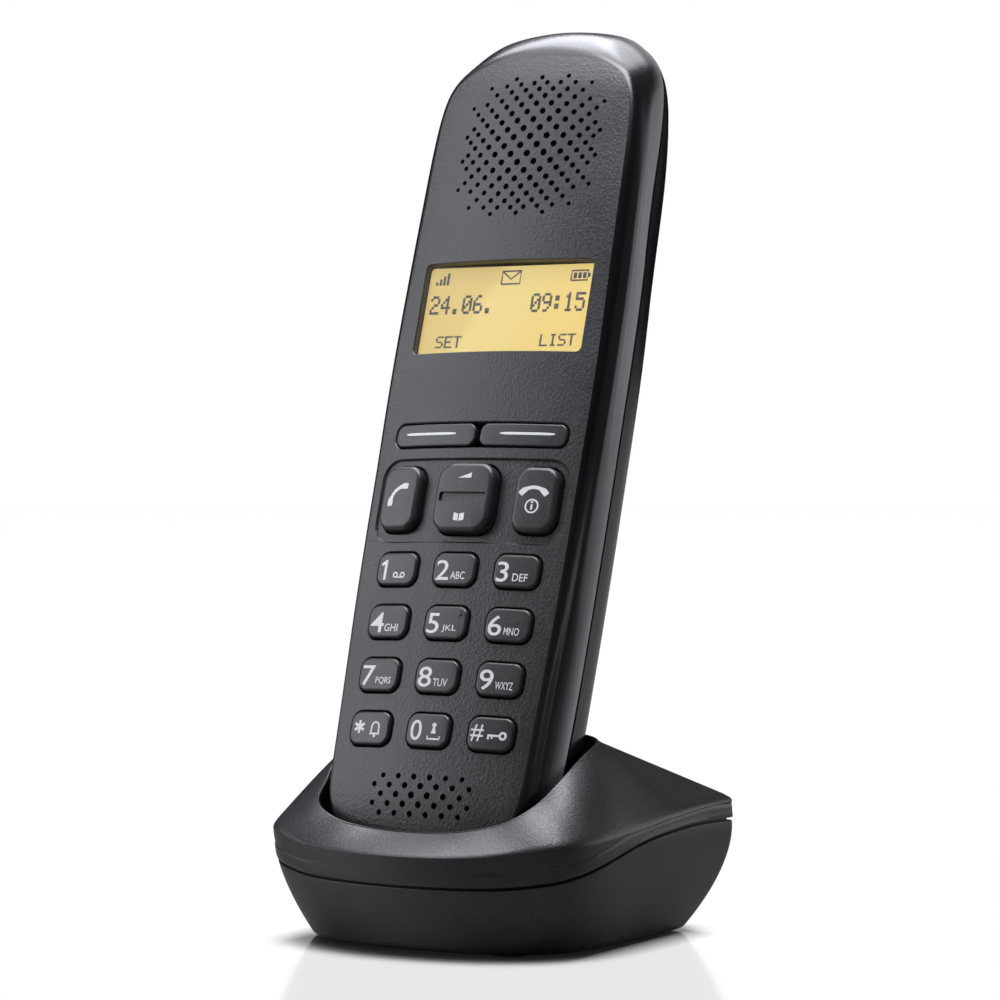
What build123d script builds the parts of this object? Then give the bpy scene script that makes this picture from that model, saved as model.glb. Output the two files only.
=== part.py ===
from build123d import *
import math
import os

# Cordless telephone: a handset standing in a small charging base.
# Handset parts are drawn in the handset's own axes (u across, v up its length,
# w out of its face, zero at the centre of the microphone perforations) and are
# then stood up at the lean angle. Base parts are drawn standing on the floor.
# Millimetres throughout.

# ---------------------------------------------------------------- dimensions
LEAN = 17.28            # backward lean of the standing handset, degrees
MIC_HEIGHT = 26.0       # centre of the microphone holes above the floor
TOP_V = 140.8           # top end of the face of the handset
REAR_TOP_V = 142.9      # top end at the parting line
BOTTOM_V = -10.3        # bottom end of the handset
HALF_W = 23.2           # greatest half width
FACE_R = 128.0          # radius of the face across its width
SEAM = 9.0              # depth of the parting line behind the face
SEAM_GAP = 0.35         # open line between the two shells
WALL = 1.6              # shell thickness
ROLL = 3.3              # rolled edge round the face
KEY_TRAVEL = 0.6        # travel of a key
KEY_GAP = 0.35          # gap round a key
DIGIT_W, DIGIT_H, DIGIT_R = 8.4, 5.75, 1.8
DIGIT_U = (-12.1, 0.0, 12.1)
DIGIT_V = (39.51, 30.06, 20.61, 11.16)
DIGIT_UP = 0.65         # height of a digit key above the face
LCD_HALF_W, LCD_V0, LCD_V1 = 17.2, 79.2, 96.1
FLANGE_TOP, FLANGE_LOW = -3.4, -4.05   # retaining flange of every key
MAT_TOP, MAT_LOW = -4.95, -5.6          # keypad mat
PCB_TOP, PCB_LOW = -6.9, -8.0           # handset circuit board
COVER_HALF, COVER_V0, COVER_V1, COVER_R = 15.0, 26.0, 95.0, 4.0
COVER_GAP = 0.35
CELL_R, CELL_L, CELL_U, CELL_W = 5.0, 44.5, 5.7, -14.1
CELL_V0 = 36.5
BASE_Z = 0.4            # underside of the base above the floor
BASE_WALL = 2.0
BOARD_Z0, BOARD_Z1 = 4.8, 6.2
POCKET_END = 1.0        # clearance under the handset's foot
POCKET_WALL = 1.6
SCREW_X, SCREW_Y = 22.0, 33.5
PILLAR_H = 17.6         # pillar inside the top shell that takes a screw
LINE_X, POWER_X, PAGE_X = -10.0, 3.2, 13.4
SOCKET_BACK = 45.2      # rear face of the sockets
CONTACT_U, CONTACT_W, CONTACT_R = 10.0, -9.2, 1.4
CONTACT_TRAVEL = 0.6

parts = {}


# ---------------------------------------------------------------- helpers
def mirrored(points):
    return [(-x, y) for x, y in points]


def curve_samples(points, start, end, n):
    c = Spline(*points, tangents=(start, end))
    return [(c @ (i / (n - 1)), (c % (i / (n - 1))).normalized()) for i in range(n)]


# Outline of the face, and the fuller outline at the parting line.
OUTLINE = [(0, 140.8), (6.0, 140.3), (11.2, 138.9), (15.5, 136.2), (18.9, 132.6),
           (20.8, 127.5), (21.7, 120.9), (22.2, 110.0), (22.6, 94.0), (22.7, 75.0), (22.2, 56.0),
           (21.4, 38.0), (20.5, 20.0), (20.0, 4.0), (18.8, -4.0), (15.3, -8.4),
           (8.6, -10.1), (0, -10.3)]
SEAM_LINE = [(0, 142.9), (7.0, 142.4), (12.7, 141.0), (16.9, 138.1), (20.0, 134.3),
             (21.6, 128.4), (22.1, 121.0), (22.3, 110.0), (22.95, 94.0), (23.2, 75.0), (23.2, 56.0),
             (23.1, 38.0), (22.8, 20.0), (22.0, 4.0), (20.3, -4.0), (16.3, -8.4),
             (9.2, -10.1), (0, -10.3)]
SAMPLES = curve_samples(OUTLINE, (1, 0), (-1, 0), 45)
SEAM_SAMPLES = curve_samples(SEAM_LINE, (1, 0), (-1, 0), 45)


def outline_face(grow=0.0, wide=1.0, low=BOTTOM_V, high=None, samples=None):
    """Outline of the handset, squeezed to a width and length, then offset."""
    samples = samples or SAMPLES
    top = samples[0][0].Y
    high = top if high is None else high
    pts = []
    for p, t in samples:
        x = p.X - t.Y * grow
        y = p.Y + t.X * grow
        lo, hi = BOTTOM_V - grow, top + grow
        s = (y - lo) / (hi - lo)
        y = (low - grow) + s * ((high + grow) - (low - grow))
        pts.append((max(x, 0.0) * wide, y))
    pts[0] = (0, pts[0][1])
    pts[-1] = (0, pts[-1][1])
    keep = pts[0:1] + pts[2:-2:2] + pts[-1:]
    return make_face(Spline(*(keep + mirrored(keep[-2:0:-1])), periodic=True))


def face_height(u, v):
    w = -u * u / (2 * FACE_R)
    for t in ((v - 128.5) / 9.8, (1.0 - v) / 8.6):
        if t > 1:
            w -= 1.6 + 2.56 * (t - 1)
        elif t > 0:
            w -= 1.6 * t ** 1.6
    return w


def front_space(shift=0.0):
    """Everything in front of the face, moved out by a distance."""
    rows = []
    for i in range(41):
        v = -26.0 + i * (184.0 / 40)
        rows.append([Vector(u, v, face_height(u, v) + shift)
                     for u in [-32 + 4 * k for k in range(17)]])
    skin = Face.make_surface_from_array_of_points(rows, tol=0.002)
    return Solid.extrude(skin, Vector(0, 0, 24))


def barrel(shift):
    """The large cylinder that the face follows across its width."""
    return Pos(0, 60, -FACE_R) * (Rot(90, 0, 0) * Cylinder(FACE_R + shift, 240))


def rounded(u0, u1, v0, v1, r, w0, w1):
    """Upright block with rounded corners."""
    s = Pos((u0 + u1) / 2, (v0 + v1) / 2, w0) * RectangleRounded(u1 - u0, v1 - v0, r)
    return extrude(s, w1 - w0)


def block(u0, u1, v0, v1, w0, w1):
    return Pos((u0 + u1) / 2, (v0 + v1) / 2, (w0 + w1) / 2) * Box(u1 - u0, v1 - v0, w1 - w0)


def rod(u, v, r, w0, w1):
    return Pos(u, v, (w0 + w1) / 2) * Cylinder(r, abs(w1 - w0))


def high_edges(solid, level):
    """Edges that lie wholly in front of a level."""
    return [e for e in solid.edges()
            if min((e @ t).Z for t in (0, 0.25, 0.5, 0.75, 1)) > level]


# Depth, width and ends of the back shell at successive levels behind the face,
# with the direction in which the skin faces there (share across, share back).
LEVELS = [(SEAM, 23.2, -10.3, 142.9, 1.0, 0.0),
          (11.0, 22.85, -10.2, 142.3, 0.98, 0.15),
          (14.0, 22.1, -9.6, 137.0, 0.94, 0.34),
          (17.0, 20.9, -8.0, 129.0, 0.86, 0.5),
          (19.5, 19.3, -5.0, 119.5, 0.72, 0.69),
          (21.8, 16.6, 1.0, 104.0, 0.5, 0.87),
          (23.3, 11.6, 14.0, 84.0, 0.25, 0.97),
          (23.9, 6.0, 32.0, 68.0, 0.1, 0.99)]


def back_form(grow=0.0, start=SEAM, widen=0.0):
    """The rounded back of the handset, lofted through its levels."""
    secs = []
    for i, (d, w, lo, hi, na, nb) in enumerate(LEVELS):
        f = outline_face(grow * na + widen, w / HALF_W, lo, hi, SEAM_SAMPLES)
        depth = start if i == 0 else d + grow * nb
        secs.append(Pos(0, 0, -depth) * f)
    return loft(secs)


# ---------------------------------------------------------------- handset shells
AHEAD = front_space(0.0)

roll = []
for a in (0, 20, 38, 54, 68, 80):
    roll.append(Pos(0, 0, -4.25 + ROLL * math.sin(math.radians(a))) * outline_face(-ROLL * (1 - math.cos(math.radians(a)))))
skirt = loft([Pos(0, 0, -SEAM) * outline_face(samples=SEAM_SAMPLES), roll[0]], ruled=True)
front = loft(roll) + extrude(Pos(0, 0, -1.5) * outline_face(-ROLL), 5.0) + skirt
front = front - AHEAD
# the hollow: full outline near the parting line, shorter under the face
hollow = extrude(Pos(0, 0, -SEAM - 1) * outline_face(-WALL), SEAM + 1 - 4.4)
front_shell = front - hollow
hollow = rounded(-18.2, 18.2, -5.0, 50.0, 6.0, -SEAM - 1, 2) + rounded(-19.2, 19.2, 40.0, 134.0, 6.0, -SEAM - 1, 2)
hollow = hollow & barrel(-1.7)
front_shell = front_shell - hollow

# shallow field round the function keys
FIELD = rounded(-19.1, 19.1, 44.3, 59.7, 3.7, -6, 6)
front_shell = front_shell - (FIELD - barrel(-0.45))

# openings
cuts = [rounded(-LCD_HALF_W, LCD_HALF_W, LCD_V0, LCD_V1, 1.0, -7, 6),
        rounded(-17.6, 17.6, 61.6, 66.2, 1.8, -7, 6)]
FUNCTION = {"talk_key": (-17.6, -9.6, 46.4, 58.0, 2.6, 1.45),
            "nav_key": (-5.7, 5.7, 46.0, 58.3, 3.0, 1.85),
            "end_key": (9.6, 17.6, 46.4, 58.0, 2.6, 1.2)}
for u0, u1, v0, v1, r, up in FUNCTION.values():
    cuts.append(rounded(u0 - KEY_GAP, u1 + KEY_GAP, v0 - KEY_GAP, v1 + KEY_GAP, r + KEY_GAP, -7, 6))
for u in DIGIT_U:
    for v in DIGIT_V:
        cuts.append(rounded(u - DIGIT_W / 2 - KEY_GAP, u + DIGIT_W / 2 + KEY_GAP,
                            v - DIGIT_H / 2 - KEY_GAP, v + DIGIT_H / 2 + KEY_GAP,
                            DIGIT_R + KEY_GAP, -7, 6))
front_shell = front_shell - cuts

# microphone perforations: five staggered rows
holes = []
MIC_PITCH = 3.166
for j in range(-2, 3):
    n = 6 if j % 2 == 0 else 7
    for i in range(n):
        u = (i - (n - 1) / 2) * MIC_PITCH
        v = -j * MIC_PITCH / 2
        r = 0.65 - 0.17 * min(1.0, math.hypot(u, 2.2 * v) / 11)
        holes.append(Pos(u, v, -1) * Cylinder(r, 8))
# earpiece perforations: a staggered field drawn in towards its rim
EAR_V = 117.85
EAR_ROWS = {0: 7, 1: 8, 2: 9, 3: 8, 4: 7, 5: 8, 6: 9, 7: 6, 8: 7}


def ear_hole(i, j):
    """Place and radius of one perforation, by column and row of the field."""
    u = i * (1.70864 - 0.000678 * i**2 - 0.007776 * j**2 - 0.0000194 * i**4 + 0.0000723 * i**2 * j**2 + 0.0000283 * j**4)
    v = j * (1.62705 - 0.002017 * j**2 - 0.006686 * i**2 - 0.0000048 * j**4 + 0.0000817 * i**2 * j**2 + 0.0000083 * i**4)
    r = 0.68 - 0.25 * (math.hypot(u, v) / 14.4) ** 1.5
    return u + 0.6 + 0.0482 * j + 0.0013 * j**2, EAR_V + v, r


EAR = [(i, s * j) for j, n in EAR_ROWS.items() for i in range(-n, n + 1, 2) for s in ((1, -1) if j else (1,))]
EAR += [(i, s * 9) for i in (-4, 0, 4) for s in (1, -1)]
for i, j in EAR:
    u, v, r = ear_hole(i, j)
    holes.append(Pos(u, v, -1) * Cylinder(r, 10))
# notches for the charging contacts in the foot
notches = [block(s * CONTACT_U - 2.6, s * CONTACT_U + 2.6, -13, -7.2, CONTACT_W - 2.0, CONTACT_W + 2.0) for s in (-1, 1)]
front_shell = front_shell - (holes + notches)
parts["front_shell"] = front_shell

# back shell, with the battery bay and the lip that enters the front shell
OUTER = back_form(0.0, SEAM + SEAM_GAP)
INNER = back_form(-WALL, SEAM - 0.5)
SKIN = OUTER - INNER
bay_hole = rounded(-COVER_HALF, COVER_HALF, COVER_V0, COVER_V1, COVER_R, -30, -10)
# ringer slots through the back and windows for the charging contacts
slots = [rounded(-5.0, 5.0, 104.6 + 2.4 * k - 0.6, 104.6 + 2.4 * k + 0.6, 0.55, -30, -12) for k in range(5)]
slots += notches
back_shell = SKIN - ([bay_hole] + slots)
# battery tray: a floor, four walls and the deck that ties them to the shell
tray = rounded(-19.9, 19.9, COVER_V0 - 4.0, COVER_V1 + 1.5, 3.0, -17.4, -16.2)
tray = tray + rounded(-13.0, 13.0, 33.0, 85.4, 1.5, -17.0, PCB_LOW - 0.3)
tray = tray - rounded(-11.9, 11.9, 34.2, 84.2, 1.0, -40, PCB_LOW - 0.9)
# catches that enter the front shell
for v, u, reach in ((15.0, 18.2, 22.0), (60.0, 20.3, 22.5), (100.0, 20.3, 21.9)):
    for s in (-1, 1):
        low = -SEAM - 1.8
        catch = block(u - 1.1, u, v - 4, v + 4, low, -SEAM + 1.8) + block(u - 1.1, reach, v - 4, v + 4, low, -SEAM - SEAM_GAP - 0.2)
        tray = tray + (catch if s > 0 else mirror(catch, Plane.YZ))
back_shell = back_shell + tray
parts["back_shell"] = back_shell

cover = SKIN & rounded(
    -COVER_HALF + COVER_GAP, COVER_HALF - COVER_GAP, COVER_V0 + COVER_GAP,
    COVER_V1 - COVER_GAP, COVER_R - COVER_GAP, -30, -10)
# finger grip: shallow grooves cut across the upper end
cover = cover - [rounded(-5.5, 5.5, 86.0 + 1.7 * k, 86.8 + 1.7 * k, 0.35, -30, -22.35 + 0.16 * k) for k in range(4)]
parts["battery_cover"] = cover

# ---------------------------------------------------------------- display
parts["display_window"] = rounded(-LCD_HALF_W + 0.1, LCD_HALF_W - 0.1, LCD_V0 + 0.1, LCD_V1 - 0.1, 0.9, -2.45, -1.45)
module = block(-18.4, 18.4, 76.2, 99.0, -5.3, -3.3)
module = module + block(-16.9, 16.9, 79.5, 95.8, -3.3, -2.5)
parts["display_module"] = module
parts["handset_shield"] = rounded(-13, 13, 77.5, 98, 1.0, -6.85, -5.4) - rounded(-12.6, 12.6, 77.9, 97.6, 0.8, -7.2, -5.8)

# ---------------------------------------------------------------- boards and mat
board = extrude(Pos(0, 0, PCB_LOW) * outline_face(-3.4), PCB_TOP - PCB_LOW) & block(-30, 30, -6, 124, -20, 0)
board = board - [rod(s * 15.5, v, 1.1, -10, -5) for s in (-1, 1) for v in (2.0, 70.5)]
parts["handset_circuit_board"] = board

mat = rounded(-18.2, 18.2, 5.5, 67.6, 3.0, MAT_LOW, MAT_TOP)
plungers = [(u, v) for u in DIGIT_U for v in DIGIT_V]
plungers += [(-13.6, 52.2), (13.6, 52.2), (0, 56.2), (0, 48.2), (-9.0, 63.9), (9.0, 63.9)]
for u, v in plungers:
    mat = mat + rod(u, v, 1.9, -6.6, MAT_LOW)
parts["keypad_mat"] = mat


# ---------------------------------------------------------------- keys
def key(u0, u1, v0, v1, r, up, soften, flange=0.9):
    """Key cap that follows the face, with the flange that keeps it in the shell."""
    cap = rounded(u0, u1, v0, v1, r, FLANGE_TOP - 0.1, 6.0) & barrel(up)
    cap = fillet(high_edges(cap, -2.9), soften)
    return cap + rounded(u0 - flange, u1 + flange, v0 - flange, v1 + flange, r + 0.5, FLANGE_LOW, FLANGE_TOP)


NAMES = (("key_1", "key_2", "key_3"), ("key_4", "key_5", "key_6"),
         ("key_7", "key_8", "key_9"), ("key_star", "key_0", "key_hash"))
for row, v in enumerate(DIGIT_V):
    for col, u in enumerate(DIGIT_U):
        k = key(u - DIGIT_W / 2, u + DIGIT_W / 2, v - DIGIT_H / 2, v + DIGIT_H / 2,
                DIGIT_R, DIGIT_UP, 0.45)
        if NAMES[row][col] == "key_5":
            k = k + rod(u + 2.7, v + 1.5, 0.35, -1.0, DIGIT_UP + 0.2)
        parts[NAMES[row][col]] = k
for name, (u0, u1, v0, v1, r, up) in FUNCTION.items():
    k = key(u0, u1, v0, v1, r, up, 0.9)
    if name == "nav_key":
        k = k - rounded(-4.7, 4.7, 51.3, 53.0, 0.4, up - 0.55, 6)
    parts[name] = k
parts["soft_key_left"] = key(-17.3, -0.5, 61.9, 65.9, 1.5, 0.15, 0.3, 0.3)
parts["soft_key_right"] = key(0.5, 17.3, 61.9, 65.9, 1.5, 0.15, 0.3, 0.3)

# ---------------------------------------------------------------- sound
parts["earpiece_gasket"] = rod(0, EAR_V, 15.6, -3.5, -2.75) - rod(0, EAR_V, 14.6, -4, -2)
speaker = rod(0, EAR_V, 15.4, -4.3, -3.55) + rod(0, EAR_V, 11.0, -6.7, -4.3)
speaker = speaker - rod(0, EAR_V, 13.4, -3.9, -3) + (Pos(0, EAR_V, -3.95) * Cone(9.5, 5.0, 0.5))
parts["earpiece_speaker"] = speaker
parts["microphone"] = rod(0, 0, 3.0, -4.3, -2.1) - rod(0, 0, 0.6, -2.6, -2)
parts["microphone_boot"] = rod(0, 0, 3.9, -6.8, -2.6) - rod(0, 0, 3.05, -4.35, -2)
parts["ringer_speaker"] = rod(0, 109.5, 8.0, -11.0, -8.1) + rod(0, 109.5, 9.4, -12.0, -11.0) - rod(0, 109.5, 7.6, -13, -11.4)

# ---------------------------------------------------------------- power
cells = []
for s in (-1, 1):
    c = Pos(s * CELL_U, CELL_V0 + CELL_L / 2, CELL_W) * (Rot(90, 0, 0) * Cylinder(CELL_R, CELL_L))
    c = fillet(c.edges(), 0.5)
    end = CELL_V0 + CELL_L if s > 0 else CELL_V0
    cells.append(c + Pos(s * CELL_U, end + 0.4 * s, CELL_W) * (Rot(90, 0, 0) * Cylinder(1.9, 0.9)))
parts["battery_cells"] = Compound(children=cells)
plates = []
for s in (-1, 1):
    for v0, v1 in ((34.25, 34.75), (83.65, 84.15)):
        plates.append(block(s * CELL_U - 4.4, s * CELL_U + 4.4, v0, v1, CELL_W - 4.4, CELL_W + 4.4))
plates[0] = plates[0] + block(-CELL_U - 1.6, -CELL_U + 1.6, 34.7, 35.6, CELL_W - 1.6, CELL_W + 1.6)
plates[3] = plates[3] + block(CELL_U - 1.6, CELL_U + 1.6, 81.9, 83.7, CELL_W - 1.6, CELL_W + 1.6)
parts["battery_contacts"] = Compound(children=plates)
coil = []
for s, v0, v1, n in ((-1, 81.05, 83.6, 3), (1, 34.8, 36.45, 2)):
    step = (v1 - v0) / n
    body = None
    for k in range(n):
        r = 3.8 - 0.2 * k if s > 0 else 2.8 + 0.2 * k
        t = Pos(s * CELL_U, v0 + (k + 0.5) * step, CELL_W) * (Rot(90, 0, 0) * Torus(r, step / 2 * 1.1))
        body = t if body is None else body + t
    body = body & block(s * CELL_U - 6, s * CELL_U + 6, v0, v1, CELL_W - 6, CELL_W + 6)
    coil.append(body)
parts["battery_springs"] = Compound(children=coil)
pads = []
for s in (-1, 1):
    p = block(s * CONTACT_U - 2.55, s * CONTACT_U + 2.55, -10.2, -9.3, CONTACT_W - 1.95, CONTACT_W + 1.95)
    p = p + block(s * CONTACT_U - 1.2, s * CONTACT_U + 1.2, -9.4, -5.2, CONTACT_W - 0.3, CONTACT_W + 0.3)
    pads.append(p)
parts["handset_charge_contacts"] = Compound(children=pads)
HANDSET = set(parts)

# ---------------------------------------------------------------- base form
# Crown outline and floor outline, front centre round to the rear corner.
CROWN = [(0, -10.6), (7, -10.2), (13, -9.1), (18.5, -7.4), (23.2, -5.1), (27.1, -2.9),
         (29.7, -0.5), (31.4, 2.8), (32.6, 7.5), (33.6, 15.0), (34.8, 24.0), (36.0, 34.0), (37.3, 45.0)]
FLOOR = [(0, -3.8), (6.5, -3.5), (12, -2.7), (16.9, -1.2), (20.8, 1.1), (23.7, 3.9),
         (25.5, 6.8), (26.6, 10.5), (27.2, 14.0), (27.6, 20.0), (27.9, 27.5), (27.9, 36.0), (27.2, 44.0)]
CROWN_Z = 18.5
REAR_CROWN, REAR_FLOOR = 47.4, 45.2
CORNER_R = 2.2


def ring_points(level, grow):
    """Outline of the base at a height, offset by a distance."""
    corner = CORNER_R - 1.6 * min(grow, 0.0)
    s = max(0.0, (CROWN_Z - level) / CROWN_Z) ** 1.7
    side = [(c[0] + (f[0] - c[0]) * s, c[1] + (f[1] - c[1]) * s) for c, f in zip(CROWN, FLOOR)]
    rear = REAR_CROWN + (REAR_FLOOR - REAR_CROWN) * s
    kx, ky = side[-1]
    c = Spline(*side, tangents=((1, 0), (side[-1][0] - side[-2][0], side[-1][1] - side[-2][1])))
    half = [c @ (i / 15) for i in range(15)]
    half = [(p.X, p.Y) for p in half if p.Y < ky - corner * 1.5]
    lean = (side[-1][0] - side[-2][0]) / (side[-1][1] - side[-2][1])
    for a in (0, 45, 90):
        x = kx - corner * (1 - math.cos(math.radians(a)))
        y = ky - corner * (1 - math.sin(math.radians(a)))
        half.append((x + lean * (y - ky), y))
    for x in (0.7, 0.35):
        half.append((kx * x, ky + (rear - ky) * (1 - (x * kx / (kx - corner)) ** 2)))
    half.append((0, rear))
    full = half + mirrored(half[-2:0:-1])
    out = []
    for i, p in enumerate(full):
        q, r = full[i - 1], full[(i + 1) % len(full)]
        d = math.hypot(r[0] - q[0], r[1] - q[1])
        out.append((p[0] + (r[1] - q[1]) / d * grow, p[1] - (r[0] - q[0]) / d * grow))
    return out


def ring(level, grow):
    return Pos(0, 0, level) * make_face(Spline(*ring_points(level, grow), periodic=True))


def hull():
    return loft([ring(z, 0.0) for z in (BASE_Z, 4.0, 8.5, 13.0, CROWN_Z, 26.0, 40.0)])


# Height of the rim of the pocket and of the outer edge, by direction.
CENTRE = (0.0, 16.0)
RIM = [(0, -3.6, 20.4), (6.4, -3.5, 20.6), (12.3, -3.2, 21.3), (17.0, -1.8, 22.4), (19.0, -1.0, 23.3),
       (20.6, 0.4, 24.4), (22.2, 5.0, 27.1), (22.9, 7.5, 28.9), (23.5, 14.0, 32.7),
       (21.8, 22.0, 34.7), (15.4, 27.6, 35.2), (0, 29.6, 35.3)]
EDGE = [(0, -10.6, 17.0), (13, -9.1, 17.2), (18.5, -7.4, 17.6), (23.2, -5.1, 18.3), (27.1, -2.9, 19.0),
        (29.7, -0.5, 19.4), (31.4, 2.8, 19.6), (32.6, 7.5, 19.9), (33.6, 15.0, 20.8),
        (34.8, 24.0, 22.1), (36.0, 34.0, 23.2), (37.3, 45.4, 23.8), (25.0, 46.6, 23.9), (0, 47.4, 24.0)]


def bearing(x, y):
    return math.atan2(abs(x), -(y - CENTRE[1]))


def by_bearing(table, a):
    """Radius and height at a bearing, from a table of points."""
    rows = [(bearing(x, y), math.hypot(x, y - CENTRE[1]), z) for x, y, z in table]
    for p, q in zip(rows, rows[1:]):
        if p[0] <= a <= q[0] + 1e-9:
            t = (a - p[0]) / (q[0] - p[0])
            # straight line between the two points, read along the bearing
            x0, y0 = p[1] * math.sin(p[0]), p[1] * math.cos(p[0])
            x1, y1 = q[1] * math.sin(q[0]), q[1] * math.cos(q[0])
            den = (x1 - x0) * math.cos(a) - (y1 - y0) * math.sin(a)
            s = (y0 * math.sin(a) - x0 * math.cos(a)) / den if abs(den) > 1e-9 else t
            return math.hypot(x0 + (x1 - x0) * s, y0 + (y1 - y0) * s), p[2] + (q[2] - p[2]) * s
    return rows[-1][1], rows[-1][2]


def top_height(x, y):
    a = bearing(x, y)
    r = math.hypot(x, y - CENTRE[1])
    ri, zi = by_bearing(RIM, a)
    ro, zo = by_bearing(EDGE, a)
    t = (ro - r) / (ro - ri)
    if t > 1:
        return zi + min((t - 1) * 0.35 * (zi - zo), 1.5)
    if t < 0:
        return zo + t * (zi - zo) * 0.9
    bulge = 0.42 * math.exp(-((a - 1.15) / 0.55) ** 2)
    return zo + (zi - zo) * ((1 - bulge) * t + bulge * (1 - (1 - t) ** 2))


def over_top(shift=0.0):
    """Everything above the top skin of the base."""
    rows = []
    for j in range(28):
        y = -20.0 + j * 2.75
        rows.append([Vector(x, y, top_height(x, y) + shift) for x in [-45 + 3.0 * k for k in range(31)]])
    skin = Face.make_surface_from_array_of_points(rows, tol=0.08)
    return Solid.extrude(skin, Vector(0, 0, 45))


PART_LINE = [(-30, 11.6), (-10, 11.7), (-5, 12.2), (-1, 13.2), (4, 14.6), (10, 16.4), (16, 18.0),
             (22, 19.1), (28, 19.8), (36, 20.2), (45, 20.0), (62, 19.8)]


def below_line(shift=0.0):
    """Everything below the wavy parting line of the base."""
    c = Spline(*[(y, z + shift) for y, z in PART_LINE])
    a, b = c @ 0, c @ 1
    f = make_face([c, Line((b.X, b.Y), (b.X, -20)), Line((b.X, -20), (a.X, -20)), Line((a.X, -20), (a.X, a.Y))])
    f = Plane.YZ * f
    return extrude(f, 60, both=True)


TO_FLOOR = Location((0, 0, MIC_HEIGHT), (90 - LEAN, 0, 0))


# Cross-section of the pocket, across the handset: (u, w) from the front centre.
SECTION = [(0, 1.8), (6.4, 1.75), (12.3, 1.5), (17.0, 0.8), (19.3, -0.2), (20.9, -2.0), (22.2, -5.0),
           (23.3, -8.5), (23.4, -11.0), (22.9, -14.2), (21.7, -17.6), (19.8, -20.6), (15.6, -23.6), (8.2, -25.3), (0, -25.6)]


def pocket(grow):
    """Space for the lower end of the handset, grown all round."""
    full = SECTION + mirrored(SECTION[-2:0:-1])
    out = []
    for i, p in enumerate(full):
        q, r = full[i - 1], full[(i + 1) % len(full)]
        d = math.hypot(r[0] - q[0], r[1] - q[1])
        out.append((p[0] - (r[1] - q[1]) / d * grow, p[1] + (r[0] - q[0]) / d * grow))
    tube = extrude(make_face(Spline(*out, periodic=True)), 100)
    # stand the tube along the handset, its lower end cut to the handset's foot
    tube = Location((0, -30, 0), (-90, 0, 0)) * (mirror(tube, Plane.XZ))
    g = grow
    foot = make_face(Polyline((-13.0, BOTTOM_V - POCKET_END - g), (30, BOTTOM_V - POCKET_END - g), (30, 64), (-60, 64),
                              (-60, 4.0), (-26.0 - g, 4.0), (-23.5 - 0.8 * g, -4.0 - 0.6 * g),
                              (-20.0 - 0.4 * g, -9.0 - 0.9 * g), close=True))
    foot = extrude(Plane((0, 0, 0), x_dir=(0, 0, 1), z_dir=(-1, 0, 0)) * foot, 50, both=True)
    return TO_FLOOR * (tube & foot)


def room(low, high):
    """One storey of the hollow inside the base, clear of the skin by a wall."""
    pts = []
    low_ring = ring_points(min(low, CROWN_Z), -BASE_WALL)
    for x, y in low_ring[::2]:
        a = bearing(x, y)
        r = math.hypot(x, y - CENTRE[1])
        while r > 2 and top_height(math.copysign(r * math.sin(a), x), CENTRE[1] - r * math.cos(a)) < high + 2.4:
            r -= 0.25
        pts.append((math.copysign(r * math.sin(a), x), CENTRE[1] - r * math.cos(a)))
    return Pos(0, 0, low) * extrude(make_face(Polyline(*pts, close=True)), high - low)


whole = hull() - over_top()
core = room(BASE_Z + 2.0, 6.02)
for z0, z1 in ((6.0, 10.02), (10.0, 14.02), (14.0, 17.02), (17.0, 20.02), (20.0, 23.52), (23.5, 27.0)):
    core = core + room(z0, z1)
body = whole - (core - pocket(POCKET_WALL))
body = body - pocket(0.0)
round_cup = pocket(POCKET_WALL + 0.3)
top_shell = body - (below_line(0.2) - round_cup)
bottom_shell = ((hull() & below_line(-0.25)) - core) - round_cup
pillars = [Pos(s * SCREW_X, SCREW_Y, 8.2 + PILLAR_H / 2) * Cylinder(3.0, PILLAR_H) for s in (-1, 1)]
top_shell = top_shell + pillars
top_shell = top_shell - [Pos(s * SCREW_X, SCREW_Y, 11.0) * Cylinder(1.5, 9.0) for s in (-1, 1)]
pins_at = [TO_FLOOR * (Pos(s * CONTACT_U, -13.0, CONTACT_W) * (Rot(90, 0, 0) * Cylinder(CONTACT_R + 0.35, 8.0))) for s in (-1, 1)]
top_shell = top_shell - pins_at
parts["base_top_shell"] = top_shell

posts = []
for s in (-1, 1):
    posts.append(Pos(s * SCREW_X, SCREW_Y, 4.9) * Cylinder(3.0, 6.2))
    posts.append(Pos(s * SCREW_X, SCREW_Y, 3.0) * Cylinder(4.2, 2.4))
    posts.append(Pos(s * 14.0, 6.0, 3.5) * Cylinder(2.0, 2.6))
    posts.append(Pos(s * 17.5, 25.0, 3.5) * Cylinder(2.0, 2.6))
bottom_shell = bottom_shell + posts
for s in (-1, 1):
    bottom_shell = bottom_shell - Pos(s * SCREW_X, SCREW_Y, 4.0) * Cylinder(1.75, 12.0)
    bottom_shell = bottom_shell - Pos(s * SCREW_X, SCREW_Y, 1.3) * Cylinder(3.0, 2.4)
FEET = [(-16.0, 3.5), (16.0, 3.5), (-19.5, 41.0), (19.5, 41.0)]
for x, y in FEET:
    bottom_shell = bottom_shell - Pos(x, y, BASE_Z) * Cylinder(3.6, 2.0)
LINE_BOX = (LINE_X - 6.4, LINE_X + 6.4, 33.0, SOCKET_BACK, BOARD_Z1, BOARD_Z1 + 11.0)
POWER_BOX = (POWER_X - 4.7, POWER_X + 4.7, 33.5, SOCKET_BACK, BOARD_Z1, BOARD_Z1 + 10.6)
for x0, x1, y0, y1, z0, z1 in (LINE_BOX, POWER_BOX):
    bottom_shell = bottom_shell - block(x0 - 0.3, x1 + 0.3, 40, 60, z0 - 0.3, z1 + 0.3)
PAGE_Z = 11.6
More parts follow.
